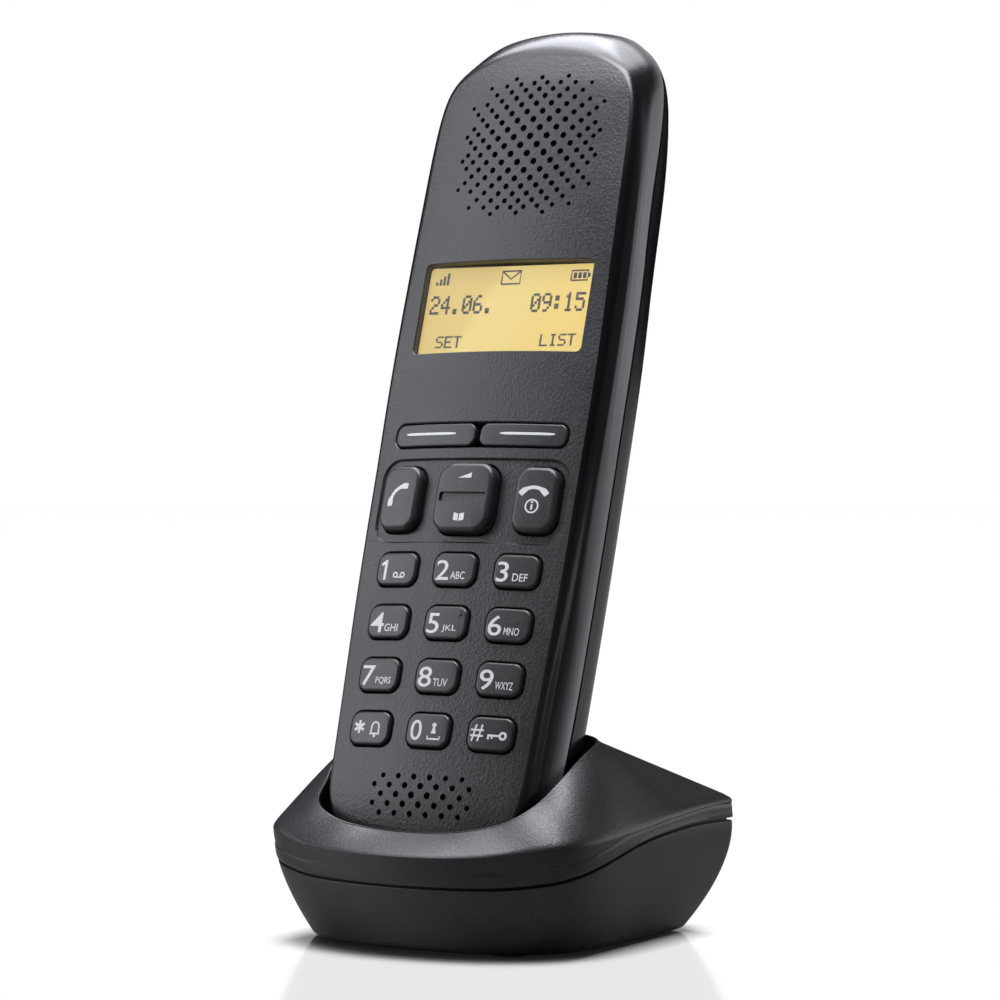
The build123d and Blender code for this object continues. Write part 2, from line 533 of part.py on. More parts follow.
bottom_shell = bottom_shell - (Pos(PAGE_X, 45, PAGE_Z) * (Rot(90, 0, 0) * extrude(RectangleRounded(7.0, 5.0, 1.6), 12, both=True)))
parts["base_bottom_shell"] = bottom_shell

# ---------------------------------------------------------------- base pieces
parts["base_feet"] = Compound(children=[
    fillet((Pos(x, y, 0.65) * Cylinder(3.5, 1.3)).edges().group_by(Axis.Z)[0], 0.3) for x, y in FEET])
screws = []
for s in (-1, 1):
    c = Pos(s * SCREW_X, SCREW_Y, 1.75) * Cylinder(2.7, 1.3) + Pos(s * SCREW_X, SCREW_Y, 8.2) * Cylinder(1.45, 12.4)
    c = c - Pos(s * SCREW_X, SCREW_Y, 1.2) * Box(3.2, 0.7, 1.0) - Pos(s * SCREW_X, SCREW_Y, 1.2) * Box(0.7, 3.2, 1.0)
    screws.append(c)
parts["base_screws"] = Compound(children=screws)

plate = extrude(Pos(0, 0, BOARD_Z0 - BASE_Z - 2.0) * ring(BASE_Z + 2.0, -3.2), BOARD_Z1 - BOARD_Z0) & block(-40, 40, -20, 43.0, 0, 20)
plate = plate - [Pos(s * SCREW_X, SCREW_Y, 5) * Cylinder(3.4, 8) for s in (-1, 1)]
parts["base_circuit_board"] = plate
parts["base_shield"] = (Pos(0, 12.0, BOARD_Z1 + 0.9) * Box(12, 16, 1.8)) - (Pos(0, 12.0, BOARD_Z1 + 0.65) * Box(11.2, 15.2, 1.5))
caps = []
for x, y, r, h in ((-20.5, 24.5, 3.1, 7.5), (20.8, 22.5, 2.6, 6.5)):
    caps.append(fillet((Pos(x, y, BOARD_Z1 + h / 2) * Cylinder(r, h)).edges().group_by(Axis.Z)[-1], 0.4))
parts["base_capacitors"] = Compound(children=caps)

x0, x1, y0, y1, z0, z1 = LINE_BOX
jack = block(*LINE_BOX)
jack = fillet(jack.edges().filter_by(Axis.Y), 0.5)
jack = jack - block(LINE_X - 4.9, LINE_X + 4.9, y1 - 9.0, y1 + 1, z0 + 2.6, z0 + 9.2)
jack = jack - block(LINE_X - 3.1, LINE_X + 3.1, y1 - 9.0, y1 + 1, z0 + 1.4, z0 + 3.0)
parts["line_socket"] = jack
parts["line_socket_contacts"] = Compound(children=[
    Pos(LINE_X + (k - 1.5) * 1.27, y1 - 5.6, z0 + 8.95) * Box(0.45, 6.6, 0.4) for k in range(4)])
x0, x1, y0, y1, z0, z1 = POWER_BOX
inlet = block(*POWER_BOX)
inlet = fillet(inlet.edges().filter_by(Axis.Y), 0.5)
POWER_Z = z0 + 5.4
inlet = inlet - (Pos(POWER_X, y1 - 4.0, POWER_Z) * (Rot(90, 0, 0) * Cylinder(3.0, 10.0)))
parts["power_socket"] = inlet
pin = Pos(POWER_X, y1 - 4.9, POWER_Z) * (Rot(90, 0, 0) * Cylinder(0.95, 8.0))
parts["power_socket_pin"] = pin

button = Pos(PAGE_X, 47.3, PAGE_Z) * (Rot(90, 0, 0) * extrude(RectangleRounded(6.4, 4.4, 1.3), 4.4))
button = fillet(button.edges().group_by(Axis.Y)[-1], 0.5)
button = button + Pos(PAGE_X, 42.35, PAGE_Z) * Box(8.4, 1.1, 6.4)
parts["paging_button"] = button
switch = block(PAGE_X - 3.0, PAGE_X + 3.0, 36.4, 40.0, BOARD_Z1, BOARD_Z1 + 8.0) + (
    Pos(PAGE_X, 40.3, PAGE_Z) * (Rot(90, 0, 0) * Cylinder(1.3, 0.8)))
parts["paging_switch"] = switch

for name, s in (("charge_contact_left", -1), ("charge_contact_right", 1)):
    p = Pos(0, 0, 0) * (Rot(90, 0, 0) * Cylinder(CONTACT_R, 5.6))
    p = fillet(p.edges().group_by(Axis.Y)[-1], 0.6)
    p = Pos(s * CONTACT_U, -10.62 - 2.8, CONTACT_W) * p
    p = p + Pos(s * CONTACT_U, -14.6, CONTACT_W) * (Rot(90, 0, 0) * Cylinder(2.3, 0.8))
    parts[name] = TO_FLOOR * p

# ---------------------------------------------------------------- place and write
for n in HANDSET:
    parts[n] = TO_FLOOR * parts[n]
boxes = [p.bounding_box() for p in parts.values()]
mid_y = (min(b.min.Y for b in boxes) + max(b.max.Y for b in boxes)) / 2
low_z = min(b.min.Z for b in boxes)
move = Location((0, -mid_y, -low_z))
os.makedirs("parts", exist_ok=True)
for n, p in parts.items():
    export_step(move * p, "parts/%s.step" % n)
print("shift", round(-mid_y, 4), round(-low_z, 4))
print("nodes", len(parts))
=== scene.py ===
import bpy
import bmesh
import math
import numpy as np
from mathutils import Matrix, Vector
from mathutils.geometry import delaunay_2d_cdt


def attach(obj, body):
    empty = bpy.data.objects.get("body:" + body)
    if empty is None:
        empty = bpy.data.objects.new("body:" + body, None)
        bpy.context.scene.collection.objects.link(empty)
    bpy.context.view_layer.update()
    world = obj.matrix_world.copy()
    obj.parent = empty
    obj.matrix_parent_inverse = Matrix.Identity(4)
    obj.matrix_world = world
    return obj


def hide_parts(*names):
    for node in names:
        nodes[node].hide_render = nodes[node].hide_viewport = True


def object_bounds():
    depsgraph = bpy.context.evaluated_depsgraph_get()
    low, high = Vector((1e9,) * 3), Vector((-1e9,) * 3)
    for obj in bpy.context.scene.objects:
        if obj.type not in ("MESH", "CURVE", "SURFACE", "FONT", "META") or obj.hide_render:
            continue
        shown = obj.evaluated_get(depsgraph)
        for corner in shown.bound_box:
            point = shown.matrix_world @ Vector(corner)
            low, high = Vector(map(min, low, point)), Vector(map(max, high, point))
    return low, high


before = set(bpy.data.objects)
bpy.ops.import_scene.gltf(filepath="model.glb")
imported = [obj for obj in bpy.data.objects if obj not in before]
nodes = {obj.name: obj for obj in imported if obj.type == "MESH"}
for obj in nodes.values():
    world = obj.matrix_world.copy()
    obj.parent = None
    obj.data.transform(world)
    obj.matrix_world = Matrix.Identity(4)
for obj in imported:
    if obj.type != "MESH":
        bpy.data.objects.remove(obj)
cad_low, cad_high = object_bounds()
scene = bpy.context.scene

# ------------------------------------------------------------------ shared frame
# Handset axes: u across, v along its length, w out of its face, millimetres,
# zero at the centre of the microphone holes. Base axes: x, y, z in millimetres,
# y from the same centre, z from the floor.
LEAN = math.radians(17.28)
ST, CT = math.sin(LEAN), math.cos(LEAN)
SHIFT_Y = -22.0294
MIC_Z = 26.0


def from_handset(pts):
    p = np.asarray(pts, float).reshape(-1, 3)
    return np.column_stack([p[:, 0], p[:, 1] * ST - p[:, 2] * CT + SHIFT_Y,
                            MIC_Z + p[:, 1] * CT + p[:, 2] * ST]) * 1e-3


def from_base(pts):
    p = np.asarray(pts, float).reshape(-1, 3)
    return np.column_stack([p[:, 0], p[:, 1] + SHIFT_Y, p[:, 2]]) * 1e-3


# ------------------------------------------------------------------ node helpers
class Graph:
    def __init__(self, name):
        self.mat = bpy.data.materials.new(name)
        self.mat.use_nodes = True
        self.t = self.mat.node_tree
        self.t.nodes.clear()
        self.out = self.t.nodes.new("ShaderNodeOutputMaterial")

    def node(self, kind, **props):
        n = self.t.nodes.new(kind)
        for k, v in props.items():
            setattr(n, k, v)
        return n

    def link(self, a, b):
        self.t.links.new(a, b)

    def coords(self, scale=(1, 1, 1), turn=(0, 0, 0)):
        tc = self.node("ShaderNodeTexCoord")
        m = self.node("ShaderNodeMapping")
        m.inputs["Scale"].default_value = scale
        m.inputs["Rotation"].default_value = turn
        self.link(tc.outputs["Object"], m.inputs["Vector"])
        return m.outputs["Vector"]

    def noise(self, vec, scale, detail=3.0, rough=0.55):
        n = self.node("ShaderNodeTexNoise")
        n.inputs["Scale"].default_value = scale
        n.inputs["Detail"].default_value = detail
        n.inputs["Roughness"].default_value = rough
        if vec is not None:
            self.link(vec, n.inputs["Vector"])
        return n.outputs["Fac"]

    def voronoi(self, vec, scale, feature="F1"):
        n = self.node("ShaderNodeTexVoronoi", feature=feature)
        n.inputs["Scale"].default_value = scale
        if vec is not None:
            self.link(vec, n.inputs["Vector"])
        return n.outputs["Distance"]

    def ramp(self, fac, stops):
        r = self.node("ShaderNodeValToRGB")
        e = r.color_ramp.elements
        while len(e) < len(stops):
            e.new(0.5)
        for el, (p, c) in zip(e, stops):
            el.position = p
            el.color = tuple(c) + (1.0,) if len(c) == 3 else c
        self.link(fac, r.inputs["Fac"])
        return r.outputs["Color"]

    def span(self, fac, a, b, c, d):
        m = self.node("ShaderNodeMapRange")
        m.inputs["From Min"].default_value = a
        m.inputs["From Max"].default_value = b
        m.inputs["To Min"].default_value = c
        m.inputs["To Max"].default_value = d
        self.link(fac, m.inputs["Value"])
        return m.outputs["Result"]

    def math(self, op, a, b=None):
        m = self.node("ShaderNodeMath", operation=op)
        for i, x in enumerate((a, b)):
            if x is None:
                continue
            if isinstance(x, (int, float)):
                m.inputs[i].default_value = x
            else:
                self.link(x, m.inputs[i])
        return m.outputs[0]

    def bump(self, height, strength, distance, normal=None):
        b = self.node("ShaderNodeBump")
        b.inputs["Strength"].default_value = strength
        b.inputs["Distance"].default_value = distance
        self.link(height, b.inputs["Height"])
        if normal is not None:
            self.link(normal, b.inputs["Normal"])
        return b.outputs["Normal"]

    def principled(self, **vals):
        p = self.node("ShaderNodeBsdfPrincipled")
        for k, v in vals.items():
            p.inputs[k.replace("_", " ")].default_value = v
        self.link(p.outputs[0], self.out.inputs["Surface"])
        return p


def grain_plastic(name, low, high, grain_mm, rough, bump, spec=0.5, patch=0.12, depth=0.00005):
    """Moulded plastic with an eroded grain, colour drift and uneven sheen."""
    g = Graph(name)
    v = g.coords()
    fine = g.noise(v, 1000.0 / grain_mm, 2.0, 0.6)
    cells = g.voronoi(v, 700.0 / grain_mm)
    drift = g.noise(v, 38.0, 4.0, 0.6)
    mixed = g.math("ADD", g.math("MULTIPLY", fine, 0.62), g.math("MULTIPLY", drift, 0.38))
    col = g.ramp(mixed, [(0.32, low), (0.68, high)])
    p = g.principled()
    p.inputs["Specular IOR Level"].default_value = spec
    g.link(col, p.inputs["Base Color"])
    r = g.math("ADD", g.span(fine, 0.3, 0.7, rough - 0.06, rough + 0.06), g.span(drift, 0.3, 0.7, -patch / 2, patch / 2))
    g.link(r, p.inputs["Roughness"])
    h = g.math("ADD", g.math("MULTIPLY", fine, 0.6), g.math("MULTIPLY", cells, 0.4))
    g.link(g.bump(h, bump, depth), p.inputs["Normal"])
    return g.mat


def gloss_plastic(name, low, high, rough, spec=0.5, peel=0.03):
    """Polished moulding: slight orange peel, dust-like roughness, hairline wear."""
    g = Graph(name)
    v = g.coords()
    drift = g.noise(v, 55.0, 4.0, 0.6)
    col = g.ramp(drift, [(0.3, low), (0.7, high)])
    p = g.principled()
    p.inputs["Specular IOR Level"].default_value = spec
    g.link(col, p.inputs["Base Color"])
    dust = g.noise(v, 2400.0, 2.0, 0.7)
    hair = g.noise(g.coords((1, 1, 0.05), (0.3, 0.2, 0.7)), 1500.0, 2.0, 0.5)
    r = g.math("ADD", g.span(dust, 0.45, 0.8, rough - 0.02, rough + 0.07), g.span(hair, 0.55, 0.8, 0.0, 0.05))
    g.link(r, p.inputs["Roughness"])
    n = g.bump(g.noise(v, 260.0, 2.0, 0.5), peel, 0.0002)
    g.link(g.bump(dust, 0.02, 0.00003, n), p.inputs["Normal"])
    return g.mat


def metal(name, low, high, rough, stretch=(1, 1, 0.04), scale=1800.0):
    g = Graph(name)
    brush = g.noise(g.coords(stretch), scale, 3.0, 0.6)
    blot = g.noise(g.coords(), 90.0, 3.0, 0.6)
    col = g.ramp(g.math("ADD", g.math("MULTIPLY", brush, 0.5), g.math("MULTIPLY", blot, 0.5)), [(0.3, low), (0.7, high)])
    p = g.principled(Metallic=1.0)
    g.link(col, p.inputs["Base Color"])
    g.link(g.span(brush, 0.3, 0.7, rough - 0.08, rough + 0.1), p.inputs["Roughness"])
    g.link(g.bump(brush, 0.12, 0.00003), p.inputs["Normal"])
    return g.mat


def circuit(name):
    """Solder mask over copper tracks with pads."""
    g = Graph(name)
    v = g.coords()
    b = g.node("ShaderNodeTexBrick")
    b.inputs["Scale"].default_value = 260.0
    b.inputs["Mortar Size"].default_value = 0.03
    b.inputs["Color1"].default_value = (0.012, 0.075, 0.03, 1)
    b.inputs["Color2"].default_value = (0.016, 0.1, 0.04, 1)
    b.inputs["Mortar"].default_value = (0.03, 0.19, 0.08, 1)
    g.link(v, b.inputs["Vector"])
    dots = g.voronoi(v, 420.0)
    pad = g.span(dots, 0.1, 0.14, 1.0, 0.0)
    mix = g.node("ShaderNodeMix", data_type="RGBA")
    g.link(pad, mix.inputs["Factor"])
    g.link(b.outputs["Color"], mix.inputs[6])
    mix.inputs[7].default_value = (0.62, 0.5, 0.22, 1)
    p = g.principled(Roughness=0.3)
    g.link(mix.outputs[2], p.inputs["Base Color"])
    g.link(g.bump(pad, 0.2, 0.0001), p.inputs["Normal"])
    return g.mat


def soft_rubber(name, low, high):
    g = Graph(name)
    v = g.coords()
    n = g.noise(v, 900.0, 4.0, 0.65)
    p = g.principled()
    g.link(g.ramp(n, [(0.3, low), (0.7, high)]), p.inputs["Base Color"])
    g.link(g.span(n, 0.3, 0.7, 0.62, 0.82), p.inputs["Roughness"])
    g.link(g.bump(n, 0.25, 0.00006), p.inputs["Normal"])
    return g.mat


def printed(name, low, high):
    """Silk-screened ink: near-white, a little uneven in its coverage."""
    g = Graph(name)
    v = g.coords()
    n = g.noise(v, 3200.0, 3.0, 0.6)
    p = g.principled(Roughness=0.5)
    g.link(g.ramp(n, [(0.3, low), (0.7, high)]), p.inputs["Base Color"])
    g.link(g.bump(n, 0.1, 0.00002), p.inputs["Normal"])
    return g.mat


def edge_gloss_with_painted_reflection(name):
    """Polished edge of the front shell with a painted reflection in its colour: near black at the roll, turning to a
    pale grey band beside the parting line, where it is also a rougher, greyer satin; painted brighter towards the
    bottom.
    """
    g = Graph(name)
    tc = g.node("ShaderNodeTexCoord")
    sep = g.node("ShaderNodeSeparateXYZ")
    g.link(tc.outputs["Object"], sep.inputs[0])
    y = g.math("SUBTRACT", g.math("MULTIPLY", sep.outputs["Y"], 1000.0), SHIFT_Y)
    z = g.math("SUBTRACT", g.math("MULTIPLY", sep.outputs["Z"], 1000.0), MIC_Z)
    along = g.math("ADD", g.math("MULTIPLY", y, ST), g.math("MULTIPLY", z, CT))
    depth = g.math("SUBTRACT", g.math("MULTIPLY", y, CT), g.math("MULTIPLY", z, ST))
    begin = g.math("MAXIMUM", g.span(along, 15.0, 50.0, 4.7, 4.3), g.span(along, 50.0, 120.0, 4.2, 5.7))
    f = g.math("DIVIDE", g.math("SUBTRACT", depth, begin), g.math("SUBTRACT", 8.8, begin))
    v = tc.outputs["Object"]
    drift = g.noise(v, 55.0, 4.0, 0.6)
    dust = g.noise(v, 2400.0, 2.0, 0.7)
    mix = g.node("ShaderNodeMix", data_type="RGBA", blend_type="MULTIPLY")
    mix.inputs["Factor"].default_value = 1.0
    # painted reflection: the albedo ramps from near black at the roll to pale grey at the parting line, standing in for
    # the side light's reflection
    g.link(g.ramp(f, [(0.0, (0.0055, 0.0055, 0.006)), (0.25, (0.013, 0.013, 0.0135)), (0.5, (0.038, 0.038, 0.039)),
                      (0.75, (0.078, 0.0785, 0.080)), (1.0, (0.135, 0.1355, 0.138))]), mix.inputs[6])
    g.link(g.ramp(drift, [(0.3, (0.86, 0.86, 0.86)), (0.7, (1.0, 1.0, 1.0))]), mix.inputs[7])
    p = g.principled()
    # painted light: the albedo is raised up to 3.2 times low on the handset, easing back to 1 by 62 mm up, to brighten
    # the lower side strip
    low = g.node("ShaderNodeVectorMath", operation="SCALE")
    g.link(mix.outputs[2], low.inputs[0])
    g.link(g.span(along, 15.0, 62.0, 3.2, 1.0), low.inputs["Scale"])
    g.link(low.outputs[0], p.inputs["Base Color"])
    g.link(g.span(along, 30.0, 80.0, 0.22, 0.5), p.inputs["Specular IOR Level"])
    start = g.span(along, 108.0, 128.0, 0.15, 0.28)
    r = g.math("ADD", g.math("ADD", start, g.span(f, 0.0, 1.0, 0.0, 0.16)), g.span(dust, 0.45, 0.8, -0.01, 0.015))
    g.link(r, p.inputs["Roughness"])
    n = g.bump(g.noise(v, 260.0, 2.0, 0.5), 0.02, 0.0002)
    g.link(g.bump(dust, 0.008, 0.00003, n), p.inputs["Normal"])
    return g.mat


FACE = grain_plastic("face_grain", (0.017, 0.0172, 0.018), (0.030, 0.0303, 0.0315), 0.38, 0.37, 1.0, 0.5, 0.12, 0.00008)
EDGE_GLOSS_WITH_PAINTED_REFLECTION = edge_gloss_with_painted_reflection("shell_edge_painted_reflection")
BACK = gloss_plastic("back_gloss", (0.007, 0.0072, 0.0075), (0.011, 0.0112, 0.0115), 0.2, 0.26)
KEYCAP = grain_plastic("key_satin", (0.016, 0.0162, 0.017), (0.027, 0.0272, 0.0285), 0.4, 0.36, 0.6, 0.55)
BASE = grain_plastic("base_satin", (0.012, 0.012, 0.0126), (0.022, 0.022, 0.023), 0.4, 0.38, 0.7, 0.5)
HULL = grain_plastic("hull_satin", (0.015, 0.015, 0.0156), (0.026, 0.026, 0.027), 0.4, 0.44, 0.6, 0.45)
INK = printed("legend_white", (0.54, 0.54, 0.545), (0.68, 0.68, 0.685))
LCD_INK = printed("display_dark", (0.010, 0.007, 0.003), (0.02, 0.014, 0.007))
RUBBER = soft_rubber("foot_rubber", (0.012, 0.012, 0.012), (0.03, 0.03, 0.03))
SILICONE = soft_rubber("mat_silicone", (0.03, 0.03, 0.031), (0.055, 0.055, 0.056))
DRIVER = grain_plastic("driver_frame", (0.02, 0.02, 0.02), (0.04, 0.04, 0.04), 0.4, 0.5, 0.3)
SOCKET = grain_plastic("socket_black", (0.012, 0.012, 0.013), (0.022, 0.022, 0.023), 0.3, 0.4, 0.25)
TIN = metal("tinned_sheet", (0.42, 0.42, 0.42), (0.66, 0.66, 0.65), 0.34)
NICKEL = metal("nickel_spring", (0.5, 0.48, 0.45), (0.7, 0.68, 0.64), 0.25)
PLATED = metal("plated_contact", (0.55, 0.42, 0.2), (0.8, 0.64, 0.34), 0.24)
SCREW = metal("dark_screw", (0.07, 0.07, 0.075), (0.16, 0.16, 0.165), 0.36)
PCB = circuit("board_green")
SLEEVE = gloss_plastic("cell_sleeve", (0.02, 0.11, 0.05), (0.03, 0.16, 0.075), 0.3)
CAN = gloss_plastic("capacitor_sleeve", (0.02, 0.02, 0.035), (0.03, 0.03, 0.05), 0.28)


def amber_panel():
    """Backlit amber panel: warm at its left side, paler along a slant, faint pixel rows."""
    g = Graph("display_amber")
    tc = g.node("ShaderNodeTexCoord")
    sep = g.node("ShaderNodeSeparateXYZ")
    g.link(tc.outputs["Object"], sep.inputs[0])
    # slanted coordinate: x leaning with height, millimetres
    x = g.math("MULTIPLY", sep.outputs["X"], 1000.0)
    z = g.math("MULTIPLY", g.math("SUBTRACT", sep.outputs["Z"], 0.109), 1000.0)
    s = g.math("SUBTRACT", x, g.math("MULTIPLY", z, 0.55))
    f = g.span(s, -22.0, 22.0, 0.0, 1.0)
    blot = g.noise(tc.outputs["Object"], 60.0, 2.0, 0.5)
    f = g.math("ADD", f, g.span(blot, 0.3, 0.7, -0.03, 0.03))
    col = g.ramp(f, [(0.0, (0.70, 0.52, 0.175)), (0.33, (0.745, 0.565, 0.185)), (0.40, (0.86, 0.68, 0.245)),
                     (0.56, (0.85, 0.67, 0.22)), (0.66, (0.86, 0.65, 0.185)), (1.0, (0.86, 0.62, 0.16))])
    p = g.principled(Roughness=0.5)
    p.inputs["Specular IOR Level"].default_value = 0.2
    g.link(g.ramp(f, [(0.0, (0.10, 0.07, 0.025)), (1.0, (0.12, 0.085, 0.03))]), p.inputs["Base Color"])
    g.link(col, p.inputs["Emission Color"])
    p.inputs["Emission Strength"].default_value = 0.80
    rows = g.node("ShaderNodeTexWave", wave_type="BANDS", bands_direction="Z")
    rows.inputs["Scale"].default_value = 700.0
    g.link(tc.outputs["Object"], rows.inputs["Vector"])
    g.link(g.bump(rows.outputs["Fac"], 0.05, 0.00002), p.inputs["Normal"])
    return g.mat


def lens():
    """Clear hard-coated window: see-through with a weak surface reflection."""
    g = Graph("window_clear")
    clear = g.node("ShaderNodeBsdfTransparent")
    gl = g.node("ShaderNodeBsdfGlossy")
    v = g.coords()
    haze = g.noise(v, 500.0, 3.0, 0.6)
    g.link(g.span(haze, 0.3, 0.7, 0.05, 0.12), gl.inputs["Roughness"])
    fr = g.node("ShaderNodeLayerWeight")
    fr.inputs["Blend"].default_value = 0.3
    m = g.node("ShaderNodeMixShader")
    g.link(g.span(fr.outputs["Facing"], 0.0, 1.0, 0.004, 0.09), m.inputs[0])
    g.link(clear.outputs[0], m.inputs[1])
    g.link(gl.outputs[0], m.inputs[2])
    g.link(m.outputs[0], g.out.inputs["Surface"])
    return g.mat


AMBER = amber_panel()
LENS = lens()


# ------------------------------------------------------------------ mesh helpers
def make_object(name, verts, faces, mats, index=None, angle=35.0, weld=1e-7):
    me = bpy.data.meshes.new(name)
    me.from_pydata([tuple(v) for v in verts], [], [tuple(int(i) for i in f) for f in faces])
    for m in mats:
        me.materials.append(m)
    if index is not None:
        me.polygons.foreach_set("material_index", np.asarray(index, np.int32))
    bm = bmesh.new()
    bm.from_mesh(me)
    bmesh.ops.remove_doubles(bm, verts=bm.verts, dist=weld)
    bmesh.ops.dissolve_degenerate(bm, dist=1e-8, edges=bm.edges)
    bmesh.ops.recalc_face_normals(bm, faces=bm.faces)
    bm.to_mesh(me)
    bm.free()
    me.polygons.foreach_set("use_smooth", np.ones(len(me.polygons), bool))
    me.set_sharp_from_angle(angle=math.radians(angle))
    ob = bpy.data.objects.new(name, me)
    scene.collection.objects.link(ob)
    return ob


def curve(points, first, last):
    """Clamped cubic through points: a function of chord length, and its knots."""
    p = np.asarray(points, float)
    d = np.linalg.norm(np.diff(p, axis=0), axis=1)
    t = np.concatenate([[0], np.cumsum(d)])
    h = np.diff(t)
    m = len(p)
    a = np.zeros((m, m))
    rhs = np.zeros((m, p.shape[1]))
    a[0, 0] = a[-1, -1] = 1
    rhs[0], rhs[-1] = first, last
    for i in range(1, m - 1):
        a[i, i - 1], a[i, i], a[i, i + 1] = h[i], 2 * (h[i - 1] + h[i]), h[i - 1]
        rhs[i] = 3 * (h[i] * (p[i] - p[i - 1]) / h[i - 1] + h[i - 1] * (p[i + 1] - p[i]) / h[i])
    k = np.linalg.solve(a, rhs)

    def at(s):
        i = np.clip(np.searchsorted(t, s, side="right") - 1, 0, m - 2)
        x = ((s - t[i]) / h[i])[:, None]
        hh = h[i][:, None]
        return ((2 * x**3 - 3 * x**2 + 1) * p[i] + (x**3 - 2 * x**2 + x) * hh * k[i]
                + (-2 * x**3 + 3 * x**2) * p[i + 1] + (x**3 - x**2) * hh * k[i + 1])

    return at, t


def even_stations(at, t, n):
    s = np.linspace(0, t[-1], 4000)
    length = np.concatenate([[0], np.cumsum(np.linalg.norm(np.diff(at(s), axis=0), axis=1))])
    return np.interp(np.linspace(0, length[-1], n), length, s)


def spline(points, first, last, n):
    """Clamped cubic curve through points, sampled evenly along its length."""
    at, t = curve(points, first, last)
    return at(even_stations(at, t, n))


def loop_normals(p):
    """Outward normals of a clockwise-from-top closed loop in a plane."""
    t = np.roll(p, -1, 0) - np.roll(p, 1, 0)
    t /= np.linalg.norm(t, axis=1)[:, None]
    return np.column_stack([-t[:, 1], t[:, 0]])


def strip(faces, index, a, b, n, mat, closed=True):
    for i in range(n if closed else n - 1):
        j = (i + 1) % n
        faces.append((a + i, a + j, b + j, b + i))
        index.append(mat)


# ------------------------------------------------------------------ handset face
TOP_V, BOTTOM_V, FACE_R = 140.8, -10.3, 128.0
SEAM = 9.0
OUTLINE = [(0, 140.8), (6.0, 140.3), (11.2, 138.9), (15.5, 136.2), (18.9, 132.6), (20.8, 127.5), (21.7, 120.9),
           (22.2, 110.0), (22.6, 94.0), (22.7, 75.0), (22.2, 56.0), (21.4, 38.0), (20.5, 20.0), (20.0, 4.0),
           (18.8, -4.0), (15.3, -8.4), (8.6, -10.1), (0, -10.3)]
SEAM_LINE = [(0, 142.9), (7.0, 142.4), (12.7, 141.0), (16.9, 138.1), (20.0, 134.3), (21.6, 128.4), (22.1, 121.0),
             (22.3, 110.0), (22.95, 94.0), (23.2, 75.0), (23.2, 56.0), (23.1, 38.0), (22.8, 20.0), (22.0, 4.0),
             (20.3, -4.0), (16.3, -8.4), (9.2, -10.1), (0, -10.3)]
_at, _knots = curve(OUTLINE, (1, 0), (-1, 0))
_s = even_stations(_at, _knots, 170)
HALF = _at(_s)
_i = np.interp(_s, _knots, np.arange(len(_knots)))
_at, _knots = curve(SEAM_LINE, (1, 0), (-1, 0))
SEAM_HALF = _at(np.interp(_i, np.arange(len(_knots)), _knots))
LOOP = np.vstack([HALF, HALF[-2:0:-1] * (-1, 1)])
SEAM_LOOP = np.vstack([SEAM_HALF, SEAM_HALF[-2:0:-1] * (-1, 1)])
LOOP_N = loop_normals(LOOP)
SEAM_N = loop_normals(SEAM_LOOP)
NL = len(LOOP)


def face_height(u, v):
    u, v = np.asarray(u, float), np.asarray(v, float)
    w = -u * u / (2 * FACE_R)
    for t in ((v - 128.5) / 9.8, (1.0 - v) / 8.6):
        tt = np.clip(t, 0, 1)
        w = w - np.where(t > 1, 1.6 + 2.56 * (t - 1), 1.6 * tt ** 1.6)
    return w


# width of the polished edge round the matte face, by height
EDGE_V = [-10.3, -6, 4, 20, 30, 40, 60, 80, 95, 110, 120, 127, 131, 134.5, 137.5, 139.5, 140.8]
EDGE_W = [1.6, 1.4, 0.8, 0.75, 0.9, 1.2, 1.9, 2.2, 2.4, 2.35, 2.2, 2.05, 2.4, 3.2, 4.3, 5.2, 5.6]
edge_w = np.interp(LOOP[:, 1], EDGE_V, EDGE_W)
for _ in range(6):
    edge_w = (np.roll(edge_w, 1) + 2 * edge_w + np.roll(edge_w, -1)) / 4
RING = LOOP - LOOP_N * edge_w[:, None]


def round_rect(u0, u1, v0, v1, r, k=8):
    pts = []
    for cx, cy, a0 in ((u1 - r, v1 - r, 0), (u0 + r, v1 - r, 90), (u0 + r, v0 + r, 180), (u1 - r, v0 + r, 270)):
        for i in range(k + 1):
            a = math.radians(a0 + 90 * i / k)
            pts.append((cx + r * math.cos(a), cy + r * math.sin(a)))
    # split the long straight runs so that they follow the curved face
    out = []
    for i, p in enumerate(pts):
        q = pts[(i + 1) % len(pts)]
        n = max(1, int(math.hypot(q[0] - p[0], q[1] - p[1]) / 1.6))
        out += [(p[0] + (q[0] - p[0]) * j / n, p[1] + (q[1] - p[1]) * j / n) for j in range(n)]
    return np.array(out)


def circle(u, v, r, n=14):
    a = np.arange(n) * 2 * math.pi / n
    return np.column_stack([u + r * np.cos(a), v + r * np.sin(a)])


def inside(points, poly):
    x, y = points[:, 0], points[:, 1]
    c = np.zeros(len(points), bool)
    px, py = poly[:, 0], poly[:, 1]
    qx, qy = np.roll(px, -1), np.roll(py, -1)
    for i in range(len(poly)):
        cross = ((py[i] > y) != (qy[i] > y))
        with np.errstate(divide="ignore", invalid="ignore"):
            xi = (qx[i] - px[i]) * (y - py[i]) / (qy[i] - py[i]) + px[i]
        c ^= cross & (x < xi)
    return c


